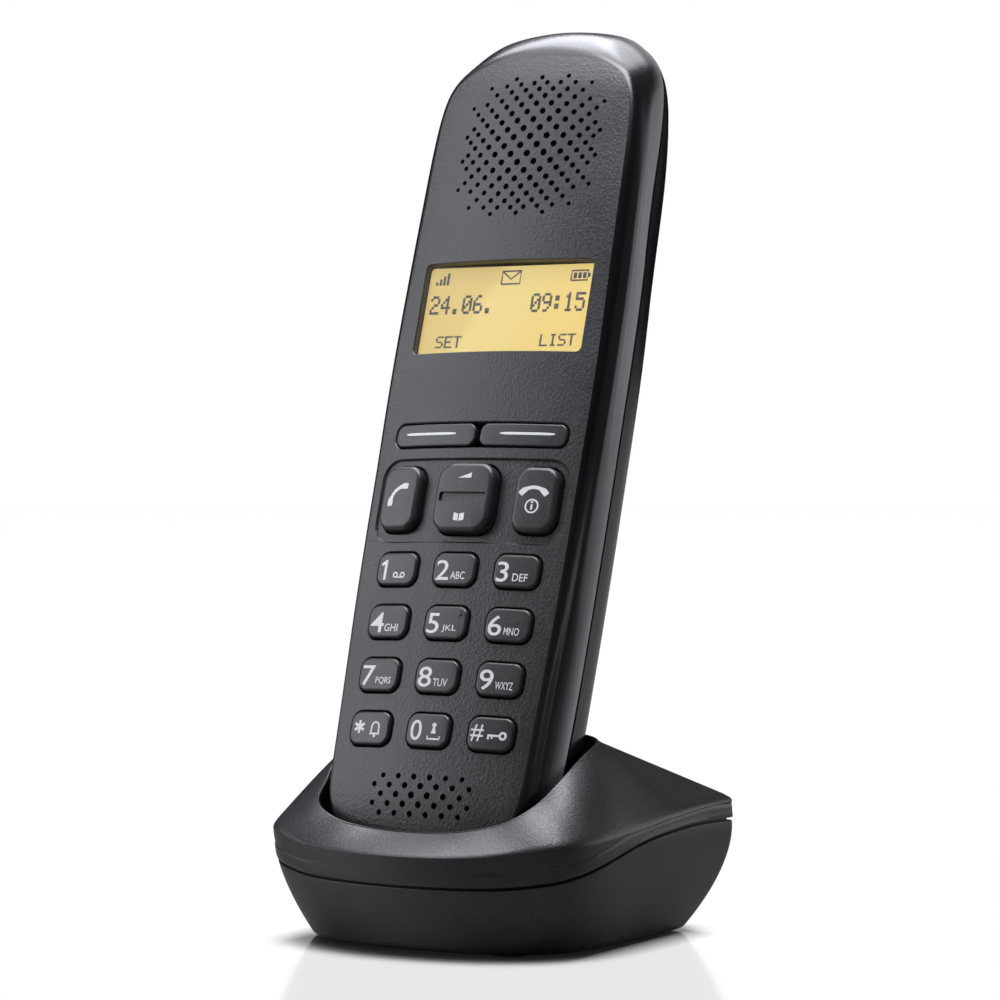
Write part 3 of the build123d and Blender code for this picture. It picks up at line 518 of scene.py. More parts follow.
def plate(outer, holes, step):
    """Triangles over a region with holes; returns points, triangles, loop indices."""
    loops = [outer] + holes
    pts = np.vstack(loops)
    edges, spans, k = [], [], 0
    for lp in loops:
        n = len(lp)
        edges += [(k + i, k + (i + 1) % n) for i in range(n)]
        spans.append((k, n))
        k += n
    lo, hi = outer.min(0), outer.max(0)
    gx, gy = np.meshgrid(np.arange(lo[0] + step / 2, hi[0], step), np.arange(lo[1] + step / 2, hi[1], step))
    grid = np.column_stack([gx.ravel(), gy.ravel()])
    keep = inside(grid, outer)
    for h in holes:
        c = h.mean(0)
        r = np.abs(h - c).max(0) + 0.5
        near = (np.abs(grid - c) < r).all(1)
        keep &= ~near
    d = np.array([np.min(np.hypot(*(outer - g).T)) for g in grid])
    keep &= d > step * 0.5
    grid = grid[keep]
    co = [Vector((float(a), float(b))) for a, b in np.vstack([pts, grid])]
    vs, _, fs, orig, _, _ = delaunay_2d_cdt(co, edges, [], 0, 1e-7, True)
    where = {}
    for i, o in enumerate(orig):
        for j in o:
            where[j] = i
    p = np.array([(a.x, a.y) for a in vs])
    tri = np.array([f for f in fs if len(f) == 3])
    mid = p[tri].mean(1)
    ok = inside(mid, outer)
    for h in holes:
        ok &= ~inside(mid, h)
    return p, tri[ok], [[where[k0 + i] for i in range(n)] for k0, n in spans]


KEY_GAP = 0.35
DIGIT_W, DIGIT_H, DIGIT_R, DIGIT_UP = 8.4, 5.75, 1.8, 0.65
DIGIT_U = (-12.1, 0.0, 12.1)
DIGIT_V = (39.51, 30.06, 20.61, 11.16)
FUNCTION = {"talk_key": (-17.6, -9.6, 46.4, 58.0, 2.6, 1.45),
            "nav_key": (-5.7, 5.7, 46.0, 58.3, 3.0, 1.85),
            "end_key": (9.6, 17.6, 46.4, 58.0, 2.6, 1.2)}

openings = [(-17.2, 17.2, 79.2, 96.1, 1.0, 0.12), (-17.6, 17.6, 61.6, 66.2, 1.8, 0.2)]
for u in DIGIT_U:
    for v in DIGIT_V:
        openings.append((u - DIGIT_W / 2 - KEY_GAP, u + DIGIT_W / 2 + KEY_GAP,
                         v - DIGIT_H / 2 - KEY_GAP, v + DIGIT_H / 2 + KEY_GAP, DIGIT_R + KEY_GAP, 0.12))
field_openings = [(a - KEY_GAP, b + KEY_GAP, c - KEY_GAP, d + KEY_GAP, r + KEY_GAP, 0.12)
                  for a, b, c, d, r, _ in FUNCTION.values()]
FIELD = (-19.1, 19.1, 44.3, 59.7, 3.7)
FIELD_DEEP = 0.45

bores = []
for j in range(-2, 3):
    n = 6 if j % 2 == 0 else 7
    for i in range(n):
        u, v = (i - (n - 1) / 2) * 3.166, -j * 3.166 / 2
        bores.append((u, v, 0.65 - 0.17 * min(1.0, math.hypot(u, 2.2 * v) / 11)))
EAR_ROWS = {0: 7, 1: 8, 2: 9, 3: 8, 4: 7, 5: 8, 6: 9, 7: 6, 8: 7}
ear = [(i, j * s) for j, n in EAR_ROWS.items() for s in ((1, -1) if j else (1,)) for i in range(-n, n + 1, 2)]
ear += [(i, s * 9) for s in (1, -1) for i in (-4, 0, 4)]
for i, j in ear:
    u0 = i * (1.70864 - 0.000678 * i * i - 0.007776 * j * j - 0.0000194 * i**4 + 0.0000723 * i * i * j * j + 0.0000283 * j**4)
    v0 = j * (1.62705 - 0.002017 * j * j - 0.006686 * i * i - 0.0000048 * j**4 + 0.0000817 * i * i * j * j + 0.0000083 * i**4)
    bores.append((u0 + 0.6 + 0.0482 * j + 0.0013 * j * j, 117.85 + v0, 0.68 - 0.25 * min(1.1, math.hypot(u0, v0) / 14.4) ** 1.5))


def carve(ob, cutters):
    """Take closed cutter meshes out of a closed mesh, and keep the plain result."""
    for c in cutters:
        m = ob.modifiers.new("cut", "BOOLEAN")
        m.operation = "DIFFERENCE"
        m.solver = "EXACT"
        m.object = c
    dg = bpy.context.evaluated_depsgraph_get()
    me = bpy.data.meshes.new_from_object(ob.evaluated_get(dg))
    ob.modifiers.clear()
    old = ob.data
    ob.data = me
    bpy.data.meshes.remove(old)
    for c in cutters:
        d = c.data
        bpy.data.objects.remove(c)
        bpy.data.meshes.remove(d)
    me.polygons.foreach_set("use_smooth", np.ones(len(me.polygons), bool))
    me.set_sharp_from_angle(angle=math.radians(32.0))
    return ob


def prism(loop, low, high, place, flip=False):
    """Closed prism over a loop, mapped to the shared frame."""
    n = len(loop)
    V = np.vstack([np.column_stack([loop, np.full(n, low)]), np.column_stack([loop, np.full(n, high)])])
    F = [tuple(range(n))[::-1], tuple(range(n, 2 * n))]
    F += [(i, (i + 1) % n, n + (i + 1) % n, n + i) for i in range(n)]
    return make_object("cutter", place(V), F, [], None)


def build_front():
    V, F, M = [], [], []
    THICK = 1.6

    def add(p, w):
        k = len(V)
        V.extend(np.column_stack([p, w]).tolist())
        return k

    def sheet(outer, holes, drop, thick, chamfers, mat):
        """A pierced plate following the face: top, underside and hole walls."""
        tops = []
        for h, c in zip(holes, chamfers):
            n = loop_normals(h)
            if np.sum((h - h.mean(0)) * n) < 0:
                n = -n
            tops.append(h + n * c)
        p, tri, loops = plate(outer, tops, 2.4)
        a = add(p, face_height(p[:, 0], p[:, 1]) - drop)
        for t in tri:
            F.append(tuple(a + t))
            M.append(mat)
        q, tri2, loops2 = plate(outer, holes, 2.4)
        b = add(q, face_height(q[:, 0], q[:, 1]) - drop - thick)
        for t in tri2:
            F.append(tuple(b + t[::-1]))
            M.append(mat)
        for h, c, la, lb in zip(holes, chamfers, loops[1:], loops2[1:]):
            wall = add(h, face_height(h[:, 0], h[:, 1]) - drop - max(c, 0.001))
            n = len(h)
            for i in range(n):
                j = (i + 1) % n
                F.append((a + la[i], a + la[j], wall + j, wall + i))
                M.append(mat)
                F.append((wall + i, wall + j, b + lb[j], b + lb[i]))
                M.append(mat)
        return [a + i for i in loops[0]], [b + i for i in loops2[0]]

    field_top = round_rect(*FIELD)
    field_low = round_rect(FIELD[0] + 0.35, FIELD[1] - 0.35, FIELD[2] + 0.35, FIELD[3] - 0.35, FIELD[4] - 0.35)
    n = len(field_top)
    holes = [round_rect(a, b, c, d, r) for a, b, c, d, r, _ in openings]
    chamfers = [o[5] for o in openings]
    bore_loops = [circle(u, v, r) for u, v, r in bores]
    # main sheet, with the field left open
    pieces = holes + bore_loops
    tops = []
    for h, c in zip(holes, chamfers):
        nn = loop_normals(h)
        if np.sum((h - h.mean(0)) * nn) < 0:
            nn = -nn
        tops.append(h + nn * c)
    p, tri, loops = plate(RING, tops + bore_loops + [field_top], 2.4)
    a = add(p, face_height(p[:, 0], p[:, 1]))
    F.extend(tuple(a + t) for t in tri)
    M.extend([0] * len(tri))
    q, tri2, loops2 = plate(RING, pieces + [field_top], 2.4)
    b = add(q, face_height(q[:, 0], q[:, 1]) - THICK)
    F.extend(tuple(b + t[::-1]) for t in tri2)
    M.extend([0] * len(tri2))
    for k, h in enumerate(pieces):
        c = chamfers[k] if k < len(holes) else 0.0
        la, lb = loops[1 + k], loops2[1 + k]
        m = len(h)
        if c > 0:
            wall = add(h, face_height(h[:, 0], h[:, 1]) - c)
            mid = [wall + i for i in range(m)]
        else:
            mid = [a + i for i in la]
        for i in range(m):
            j = (i + 1) % m
            if c > 0:
                F.append((a + la[i], a + la[j], mid[j], mid[i]))
                M.append(0)
            F.append((mid[i], mid[j], b + lb[j], b + lb[i]))
            M.append(0)
    # the sunk field: sloping border, then its own pierced sheet
    top_loop = [a + i for i in loops[-1]]
    low_loop = [b + i for i in loops2[-1]]
    fh = [round_rect(x0, x1, y0, y1, r) for x0, x1, y0, y1, r, _ in field_openings]
    fc = [o[5] for o in field_openings]
    ft, fb = sheet(field_low, fh, FIELD_DEEP, THICK - FIELD_DEEP, fc, 0)
    for i in range(n):
        j = (i + 1) % n
        F.append((top_loop[i], top_loop[j], ft[j], ft[i]))
        M.append(0)
        F.append((low_loop[j], low_loop[i], fb[i], fb[j]))
        M.append(0)
    # polished edge: roll from the matte face round to the side, then the side
    # band, which spreads to the parting line
    face_loop = [a + i for i in loops[0]]
    under_loop = [b + i for i in loops2[0]]
    wf = face_height(RING[:, 0], RING[:, 1])

    def band(prev, cur, mat):
        for i in range(NL):
            j = (i + 1) % NL
            F.append((prev[i], prev[j], cur[j], cur[i]))
            M.append(mat)
        return cur

    # one smooth curve for every station: matte edge, widest line, parting line
    P0 = np.column_stack([RING, wf])
    swell = 0.55 * np.clip((58.0 - LOOP[:, 1]) / 25.0, 0, 1) * np.clip((LOOP[:, 1] + 9.0) / 10.0, 0, 1)
    PM = np.column_stack([LOOP + LOOP_N * swell[:, None], np.full(NL, -4.25)])
    P1 = np.column_stack([SEAM_LOOP, np.full(NL, -8.8)])
    d1 = np.linalg.norm(PM - P0, axis=1)[:, None]
    d2 = np.linalg.norm(P1 - PM, axis=1)[:, None]
    T0 = np.column_stack([LOOP_N * 0.985, np.full(NL, -0.17)])
    TM = ((PM - P0) / d1 * d2 + (P1 - PM) / d2 * d1) / (d1 + d2)
    T1 = np.column_stack([(P1 - PM)[:, :2] / 4.6 * 0.55, np.full(NL, -1.0)])
    T1 = T1 / np.linalg.norm(T1, axis=1)[:, None]
    prev = face_loop
    for a, b, ta, tb, d, m in ((P0, PM, T0, TM, d1, 14), (PM, P1, TM, T1, d2, 12)):
        for s in range(1, m + 1):
            x = s / m
            p = ((2 * x**3 - 3 * x**2 + 1) * a + (x**3 - 2 * x**2 + x) * d * ta
                 + (-2 * x**3 + 3 * x**2) * b + (x**3 - x**2) * d * tb)
            k = add(p[:, :2], p[:, 2])
            prev = band(prev, list(range(k, k + NL)), 1)
    for off, w in ((0.08, -8.93), (0.22, -SEAM), (1.5, -SEAM)):
        k = add(SEAM_LOOP - SEAM_N * off, np.full(NL, w))
        prev = band(prev, list(range(k, k + NL)), 1)
    k = add(LOOP - LOOP_N * 1.35, np.full(NL, -6.2))
    prev = band(prev, list(range(k, k + NL)), 1)
    k = add(LOOP - LOOP_N * np.maximum(1.35, edge_w)[:, None], np.minimum(-4.4, wf - THICK - 1.0))
    prev = band(prev, list(range(k, k + NL)), 1)
    band(prev, under_loop, 1)
    V = from_handset(V)
    V[:, 2] = np.minimum(V[:, 2], cad_high[2] - 2e-5)
    ob = make_object("front_shell_fine", V, F, [FACE, EDGE_GLOSS_WITH_PAINTED_REFLECTION], M, 32.0)
    cutters = [prism(round_rect(s * 10.0 - 2.6, s * 10.0 + 2.6, -13.0, -7.2, 0.3, 2), -11.2, -7.2, from_handset) for s in (-1, 1)]
    return carve(ob, cutters)


front = build_front()
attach(front, "handset")
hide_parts("front_shell")

# ------------------------------------------------------------------ base shells
CROWN = [(0, -10.55), (7, -10.15), (13, -9.1), (18.5, -7.4), (23.2, -5.1), (27.1, -2.9), (29.7, -0.5),
         (31.4, 2.8), (32.6, 7.5), (33.6, 15.0), (34.8, 24.0), (36.0, 34.0), (37.14, 45.0)]
FLOOR = [(0, -3.8), (6.5, -3.5), (12, -2.7), (16.9, -1.2), (20.8, 1.1), (23.7, 3.9), (25.5, 6.8),
         (26.6, 10.5), (27.2, 14.0), (27.6, 20.0), (27.9, 27.5), (27.9, 36.0), (27.2, 44.0)]
CROWN_Z = 18.5
CENTRE = (0.0, 16.0)
RIM = [(0, -3.6, 20.4), (6.4, -3.5, 20.6), (12.3, -3.2, 21.3), (17.0, -1.8, 22.4), (19.0, -1.0, 23.3),
       (20.6, 0.4, 24.4), (22.2, 5.0, 27.1), (22.9, 7.5, 28.9), (23.5, 14.0, 32.7), (21.8, 22.0, 34.7),
       (15.4, 27.6, 35.2), (0, 29.6, 35.3)]
EDGE = [(-10.6, 17.0), (-9.1, 17.2), (-7.4, 17.6), (-5.1, 18.3), (-2.9, 19.0), (-0.5, 19.4), (2.8, 19.6), (7.5, 19.9),
        (15.0, 20.8), (24.0, 22.1), (34.0, 23.2), (45.4, 23.8), (46.6, 23.9), (47.4, 24.0)]
PART_LINE = [(-30, 11.6), (-10, 11.7), (-5, 12.2), (-1, 13.2), (4, 14.6), (10, 16.4), (16, 18.0),
             (22, 19.1), (28, 19.8), (36, 20.2), (45, 20.0), (62, 19.8)]


def ring_dense(points, rear, corner=2.2):
    p = np.array(points, float)
    s = spline(p, (1, 0), (p[-1] - p[-2]) / np.linalg.norm(p[-1] - p[-2]), 150)
    kx, ky = p[-1]
    lean = (p[-1][0] - p[-2][0]) / (p[-1][1] - p[-2][1])
    side = s[s[:, 1] < ky - corner * 1.05]
    side = spline(side[::2], (1, 0), (lean, 1.0) / np.hypot(lean, 1.0), 110)
    arc = []
    for a in np.linspace(0, 90, 13):
        x = kx - corner * (1 - math.cos(math.radians(a)))
        y = ky - corner * (1 - math.sin(math.radians(a)))
        arc.append((x + lean * (y - ky), y))
    arc = np.array(arc)
    x = np.linspace(arc[-1][0], 0, 42)[1:]
    back = np.column_stack([x, ky + (rear - ky) * (1 - (x / arc[-1][0]) ** 2)])
    return np.vstack([side, arc, back])


CROWN_H = ring_dense(CROWN, 47.4)
FLOOR_H = ring_dense(FLOOR, 45.2)
NH = len(CROWN_H)


def full(half):
    m = half[-2:0:-1].copy()
    m[:, 0] *= -1
    return np.vstack([half, m])


CROWN_L, FLOOR_L = full(CROWN_H), full(FLOOR_H)
NB = len(CROWN_L)


def hull_at(z):
    """Hull outline, with a height for every station."""
    s = (np.clip((CROWN_Z - z) / CROWN_Z, 0, None) ** 1.7)[:, None]
    return CROWN_L + (FLOOR_L - CROWN_L) * s


line_curve = spline(PART_LINE, (1, 0.005), (1, -0.012), 800)


def part_line(y):
    return np.interp(y, line_curve[:, 0], line_curve[:, 1])


groove = part_line(CROWN_L[:, 1])
for _ in range(3):
    groove = part_line(hull_at(groove)[:, 1])
edge_z = np.interp(CROWN_L[:, 1], [e[0] for e in EDGE], [e[1] for e in EDGE])
for _ in range(12):
    edge_z = (np.roll(edge_z, 1) + 2 * edge_z + np.roll(edge_z, -1)) / 4

rim_half = spline(RIM, (1, 0, 0), (-1, 0, 0), 900)
rim_full = np.vstack([rim_half, rim_half[-2:0:-1] * (-1, 1, 1)])


def bearing(p):
    return np.arctan2(p[:, 0], -(p[:, 1] - CENTRE[1]))


def rim_at(b):
    rb = bearing(rim_full)
    o = np.argsort(rb)
    rb, rp = rb[o], rim_full[o]
    rb = np.concatenate([rb - 2 * math.pi, rb, rb + 2 * math.pi])
    rp = np.vstack([rp, rp, rp])
    return np.column_stack([np.interp(b, rb, rp[:, j]) for j in range(3)])


def handset_to_base(u, v, w):
    return np.column_stack([u, v * ST - w * CT, MIC_Z + v * CT + w * ST])


def pocket_floor(w):
    return np.interp(-w, [13.0, 20.0, 23.5, 26.0], [-11.25, -9.0, -4.0, 4.0])


out_n = loop_normals(CROWN_L)
if np.sum((CROWN_L - CROWN_L.mean(0)) * out_n) < 0:
    out_n = -out_n


def stack(rows, first=None, last=None):
    """Quads between equal rows, the ends drawn to a point where one is given."""
    V = np.vstack(rows)
    F = []
    for r in range(len(rows) - 1):
        for i in range(NB):
            j = (i + 1) % NB
            F.append((r * NB + i, r * NB + j, (r + 1) * NB + j, (r + 1) * NB + i))
    for point, r in ((first, 0), (last, len(rows) - 1)):
        if point is not None:
            V = np.vstack([V, [point]])
            k = len(V) - 1
            F += [(r * NB + i, r * NB + (i + 1) % NB, k) for i in range(NB)]
    return V, F


def build_base():
    rows = []
    out = out_n
    b = bearing(CROWN_L)
    rim = rim_at(b)
    inward = -out

    def at(xy, z):
        return np.column_stack([xy, z])

    g0 = groove + 0.2
    band = np.minimum(2.3, np.maximum(0.9, edge_z - g0 - 0.75))
    # how much of the flank is left between the band and the crease
    flank = np.clip((edge_z - g0 - band) / 2.8, 0, 1)
    step = ((0.10 * flank + 0.08) * (0.25 + 0.75 * np.clip((np.abs(b) - 0.45) / 0.4, 0, 1)))[:, None]
    low = hull_at(g0)
    crown = CROWN_L
    vec = rim[:, :2] - crown
    dist = np.linalg.norm(vec, axis=1)
    d = vec / dist[:, None]
    bend = 0.42 * np.exp(-((np.abs(b) - 1.15) / 0.55) ** 2)

    def slope_z(t):
        h = (1 - bend) * t + bend * (1 - (1 - t) ** 2)
        return edge_z + (rim[:, 2] - edge_z) * h

    R = 0.55
    slope = (rim[:, 2] - edge_z) / dist
    wall_top = np.column_stack([rim[:, :2], rim[:, 2] - 0.8 * R])
    wu = wall_top[:, 0]
    wv = wall_top[:, 1] * ST + (wall_top[:, 2] - MIC_Z) * CT
    ww = -wall_top[:, 1] * CT + (wall_top[:, 2] - MIC_Z) * ST
    WC = -11.0
    # underside of the pocket, its outside wall and the inside of the skin
    grow = np.column_stack([wu, ww - WC])
    grow = grow / np.linalg.norm(grow, axis=1)[:, None]
    ou, ow = wu + grow[:, 0] * 1.5, ww + grow[:, 1] * 1.5
    for f in (0.3, 0.6, 0.85):
        rows.append(handset_to_base(ou * f, pocket_floor(WC + (ow - WC) * f) - 1.4, WC + (ow - WC) * f))
    rows.append(handset_to_base(ou, pocket_floor(ow) - 1.4, ow))
    t = 1 - 1.7 / dist
    under = at(crown + vec * t[:, None], np.maximum(slope_z(t) - 2.2, g0 + 1.8))
    rows.append(under)
    rows.append(at(crown + vec * 0.3, np.maximum(slope_z(np.full(NB, 0.3)) - 1.9, g0 + 1.7)))
    # parting lip, band and flank
    rows.append(at(hull_at(g0 + 1.4) + inward * 0.75, g0 + 1.4))
    rows.append(at(low + inward * 0.75, g0))
    rows.append(at(low + inward * 0.35, g0))
    rows.append(at(low + out * 0.05, g0 + 0.1))
    rows.append(at(low + out * 0.14, g0 + 0.3))
    for t in (0.35, 0.7):
        z = g0 + band * t
        rows.append(at(hull_at(z) + out * (0.14 - 0.18 * t), z))
    z = g0 + band - 0.12
    rows.append(at(hull_at(z) - out * 0.02, z))
    z = g0 + band
    rows.append(at(hull_at(z) - out * (step * 0.6), z))
    z = g0 + band + 0.1
    rows.append(at(hull_at(z) - out * step, z))
    top = edge_z - 0.45
    start = z
    for t in (0.25, 0.5, 0.75, 1.0):
        z = start + (top - start) * t
        rows.append(at(hull_at(z) - out * (step * (1 - t)), z))
    # crease, then the slope to the rim
    for t in (0.012, 0.03, 0.06, 0.1, 0.16, 0.24, 0.33, 0.43, 0.53, 0.63, 0.73, 0.82, 0.9, 0.955):
        z = slope_z(t)
        if t < 0.05:
            z = z - 0.22 * (1 - t / 0.05)
        rows.append(at(crown + vec * t, z))
    # rolled rim and the pocket wall
    for a in (0, 30, 60, 90):
        s = math.sin(math.radians(a))
        c = 1 - math.cos(math.radians(a))
        rows.append(at(rim[:, :2] - d * (R * (1 - s)), rim[:, 2] - slope * R * (1 - s) * (1 - s) * 0.6 - R * c * 0.8))
    fv = pocket_floor(ww)
    for t in (0.12, 0.35, 0.65, 0.9, 1.0):
        rows.append(handset_to_base(wu, wv + (fv - wv) * t, ww))
    for f in (0.93, 0.8, 0.6, 0.3):
        w = WC + (ww - WC) * f
        rows.append(handset_to_base(wu * f, pocket_floor(w), w))
    mid = handset_to_base(np.array([0.0]), np.array([-11.25]), np.array([WC]))[0]
    low_mid = handset_to_base(np.array([0.0]), np.array([-12.65]), np.array([WC]))[0]
    V, F = stack(rows, low_mid, mid)
    ob = make_object("base_top_fine", from_base(V), F, [BASE], None, 30.0)
    pins = [prism(np.column_stack([circle(s * 10.0, -9.2, 1.75, 28)]), -16.0, -10.0, lambda q: from_handset(q[:, [0, 2, 1]])) for s in (-1, 1)]
    return carve(ob, pins)


base_top = build_base()
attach(base_top, "base")
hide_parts("base_top_shell")


def tube(x, y, r0, r1, z0, z1, n=32):
    """Closed ring with a square section, as points and faces."""
    rows = [np.column_stack([circle(x, y, r, n), np.full(n, z)]) for r, z in ((r0, z0), (r1, z0), (r1, z1), (r0, z1))]
    F = [(a * n + i, a * n + (i + 1) % n, ((a + 1) % 4) * n + (i + 1) % n, ((a + 1) % 4) * n + i) for a in range(4) for i in range(n)]
    return np.vstack(rows), F


def build_bottom():
    LOW = 0.4
    g1 = groove - 0.25
    rows = []

    def at(z, inset=0.0):
        z = np.broadcast_to(np.asarray(z, float), (NB,))
        return np.column_stack([hull_at(z) - out_n * inset, z])

    def shrunk(loop, f):
        c = np.array([0.0, 18.0])
        return np.column_stack([c + (loop[:, :2] - c) * f, loop[:, 2]])

    base_loop = at(LOW, 0.55)
    for f in (0.3, 0.6, 0.85):
        rows.append(shrunk(base_loop, f))
    for z, inset in ((LOW, 0.55), (LOW + 0.07, 0.3), (LOW + 0.22, 0.12), (LOW + 0.5, 0.0)):
        rows.append(at(z, inset))
    start = LOW + 0.5
    for t in np.linspace(0, 1, 16)[1:-1]:
        rows.append(at(start + (g1 - 0.3 - start) * t))
    rows.append(at(g1 - 0.3))
    rows.append(at(g1 - 0.12, 0.03))
    rows.append(at(g1, 0.14))
    # tongue that stands up behind the lip of the upper shell
    rows.append(at(g1, 0.95))
    rows.append(at(g1 + 1.1, 0.95))
    rows.append(at(g1 + 1.1, 1.9))
    for t in (0.35, 0.7, 1.0):
        rows.append(at(g1 + (2.4 - g1) * t, 1.9))
    inner = rows[-1]
    for f in (0.85, 0.6, 0.3):
        rows.append(shrunk(inner, f))
    V, F = stack(rows, (0.0, 18.0, LOW), (0.0, 18.0, 2.4))
    ob = make_object("base_bottom_fine", from_base(V), F, [HULL], None, 30.0)
    rear = lambda q: from_base(q[:, [0, 2, 1]])
    cutters = [prism(round_rect(-16.7, -3.3, 5.9, 17.5, 0.4, 3), 40.0, 60.0, rear),
               prism(round_rect(-1.8, 8.2, 5.9, 17.1, 0.4, 3), 40.0, 60.0, rear),
               prism(round_rect(9.9, 16.9, 9.1, 14.1, 1.6, 6), 40.0, 60.0, rear)]
    for s in (-1, 1):
        cutters.append(prism(circle(s * 22.0, 33.5, 3.0, 32), -1.0, 2.5, from_base))
    for x, y in ((-16.0, 3.5), (16.0, 3.5), (-19.5, 41.0), (19.5, 41.0)):
        cutters.append(prism(circle(x, y, 3.6, 40), -1.0, 1.4, from_base))
    ob = carve(ob, cutters)
    # screw pillars and board posts standing on the floor of the hull
    bm = bmesh.new()
    bm.from_mesh(ob.data)
    for s in (-1, 1):
        for x, y, r0, r1, z0, z1 in ((s * 22.0, 33.5, 1.75, 4.2, 2.38, 4.2), (s * 22.0, 33.5, 1.75, 3.0, 4.2, 8.0),
                                     (s * 14.0, 6.0, 0.7, 2.0, 2.38, 4.78), (s * 17.5, 25.0, 0.7, 2.0, 2.38, 4.78)):
            v, f = tube(x, y, r0, r1, z0, z1)
            k = [bm.verts.new(tuple(p)) for p in from_base(v)]
            new = [bm.faces.new([k[i] for i in q]) for q in f]
            bmesh.ops.recalc_face_normals(bm, faces=new)
    bm.to_mesh(ob.data)
    bm.free()
    ob.data.polygons.foreach_set("use_smooth", np.ones(len(ob.data.polygons), bool))
    ob.data.set_sharp_from_angle(angle=math.radians(32.0))
    return ob


base_bottom = build_bottom()
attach(base_bottom, "base")
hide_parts("base_bottom_shell")


# ------------------------------------------------------------------ legends
def text_shape(body, height, width=None, spacing=1.0):
    c = bpy.data.curves.new("t", "FONT")
    c.body = body
    c.size = 1.0
    c.resolution_u = 4
    c.space_character = spacing
    c.offset = 0.004
    o = bpy.data.objects.new("t", c)
    scene.collection.objects.link(o)
    dg = bpy.context.evaluated_depsgraph_get()
    me = bpy.data.meshes.new_from_object(o.evaluated_get(dg))
    v = np.array([p.co[:2] for p in me.vertices], float)
    f = [tuple(p.vertices) for p in me.polygons]
    bpy.data.objects.remove(o)
    bpy.data.curves.remove(c)
    bpy.data.meshes.remove(me)
    lo, hi = v.min(0), v.max(0)
    k = height / (hi[1] - lo[1])
    kx = k if width is None else width / (hi[0] - lo[0])
    return (v - lo) * (kx, k), f


def thick_path(points, half, closed=False, taper=None):
    p = np.asarray(points, float)
    n = len(p)
    t = np.gradient(p, axis=0) if not closed else np.roll(p, -1, 0) - np.roll(p, 1, 0)
    t /= np.linalg.norm(t, axis=1)[:, None]
    nrm = np.column_stack([-t[:, 1], t[:, 0]])
    hw = np.full(n, half) if taper is None else np.asarray(taper)
    v = np.vstack([p + nrm * hw[:, None], p - nrm * hw[:, None]])
    f = []
    for i in range(n if closed else n - 1):
        j = (i + 1) % n
        f.append((i, j, n + j, n + i))
    return v, f


def arc(cx, cy, r, a0, a1, n=16):
    a = np.radians(np.linspace(a0, a1, n))
    return np.column_stack([cx + r * np.cos(a), cy + r * np.sin(a)])


def poly(points):
    return np.asarray(points, float), [tuple(range(len(points)))]


def disc(cx, cy, r, n=16):
    return arc(cx, cy, r, 0, 360 - 360 / n, n), [tuple(range(n))]


def moved(shape, du, dv, k=1.0):
    return shape[0] * k + (du, dv), shape[1]


def receiver(cx, cy, size, turn):
    """A bent telephone receiver, as a plain sign."""
    s = size
    body = arc(0, -s * 0.62, s * 1.05, 145, 35, 15)
    w = np.interp(np.linspace(0, 1, 15), [0, 0.16, 0.3, 0.7, 0.84, 1], [0.17, 0.19, 0.105, 0.105, 0.19, 0.17]) * s
    v, f = thick_path(body, 0.2, taper=w)
    c, sn = math.cos(math.radians(turn)), math.sin(math.radians(turn))
    return np.column_stack([cx + v[:, 0] * c - v[:, 1] * sn, cy + v[:, 0] * sn + v[:, 1] * c]), f


def key_top(up):
    return lambda u, v: up - u * u / (2 * (FACE_R + up))


def decal(name, shapes, height, body, mat, lift=0.012, thick=0.03):
    V, F, k = [], [], 0
    for v, f in shapes:
        w = np.array([height(a, b) for a, b in v])
        top = np.column_stack([v, w + lift])
        low = np.column_stack([v, w + lift - thick])
        n = len(v)
        V += [top, low]
        count = {}
        for q in f:
            F.append(tuple(k + i for i in q))
            F.append(tuple(k + n + i for i in q[::-1]))
            for i in range(len(q)):
                e = (q[i], q[(i + 1) % len(q)])
                count[e] = count.get(e, 0) + 1
        for (i, j) in count:
            if (j, i) not in count:
                F.append((k + j, k + i, k + n + i, k + n + j))
        k += 2 * n
    ob = make_object(name, from_handset(np.vstack(V)), F, [mat], None, 25.0, 1e-9)
    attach(ob, body)
    return ob


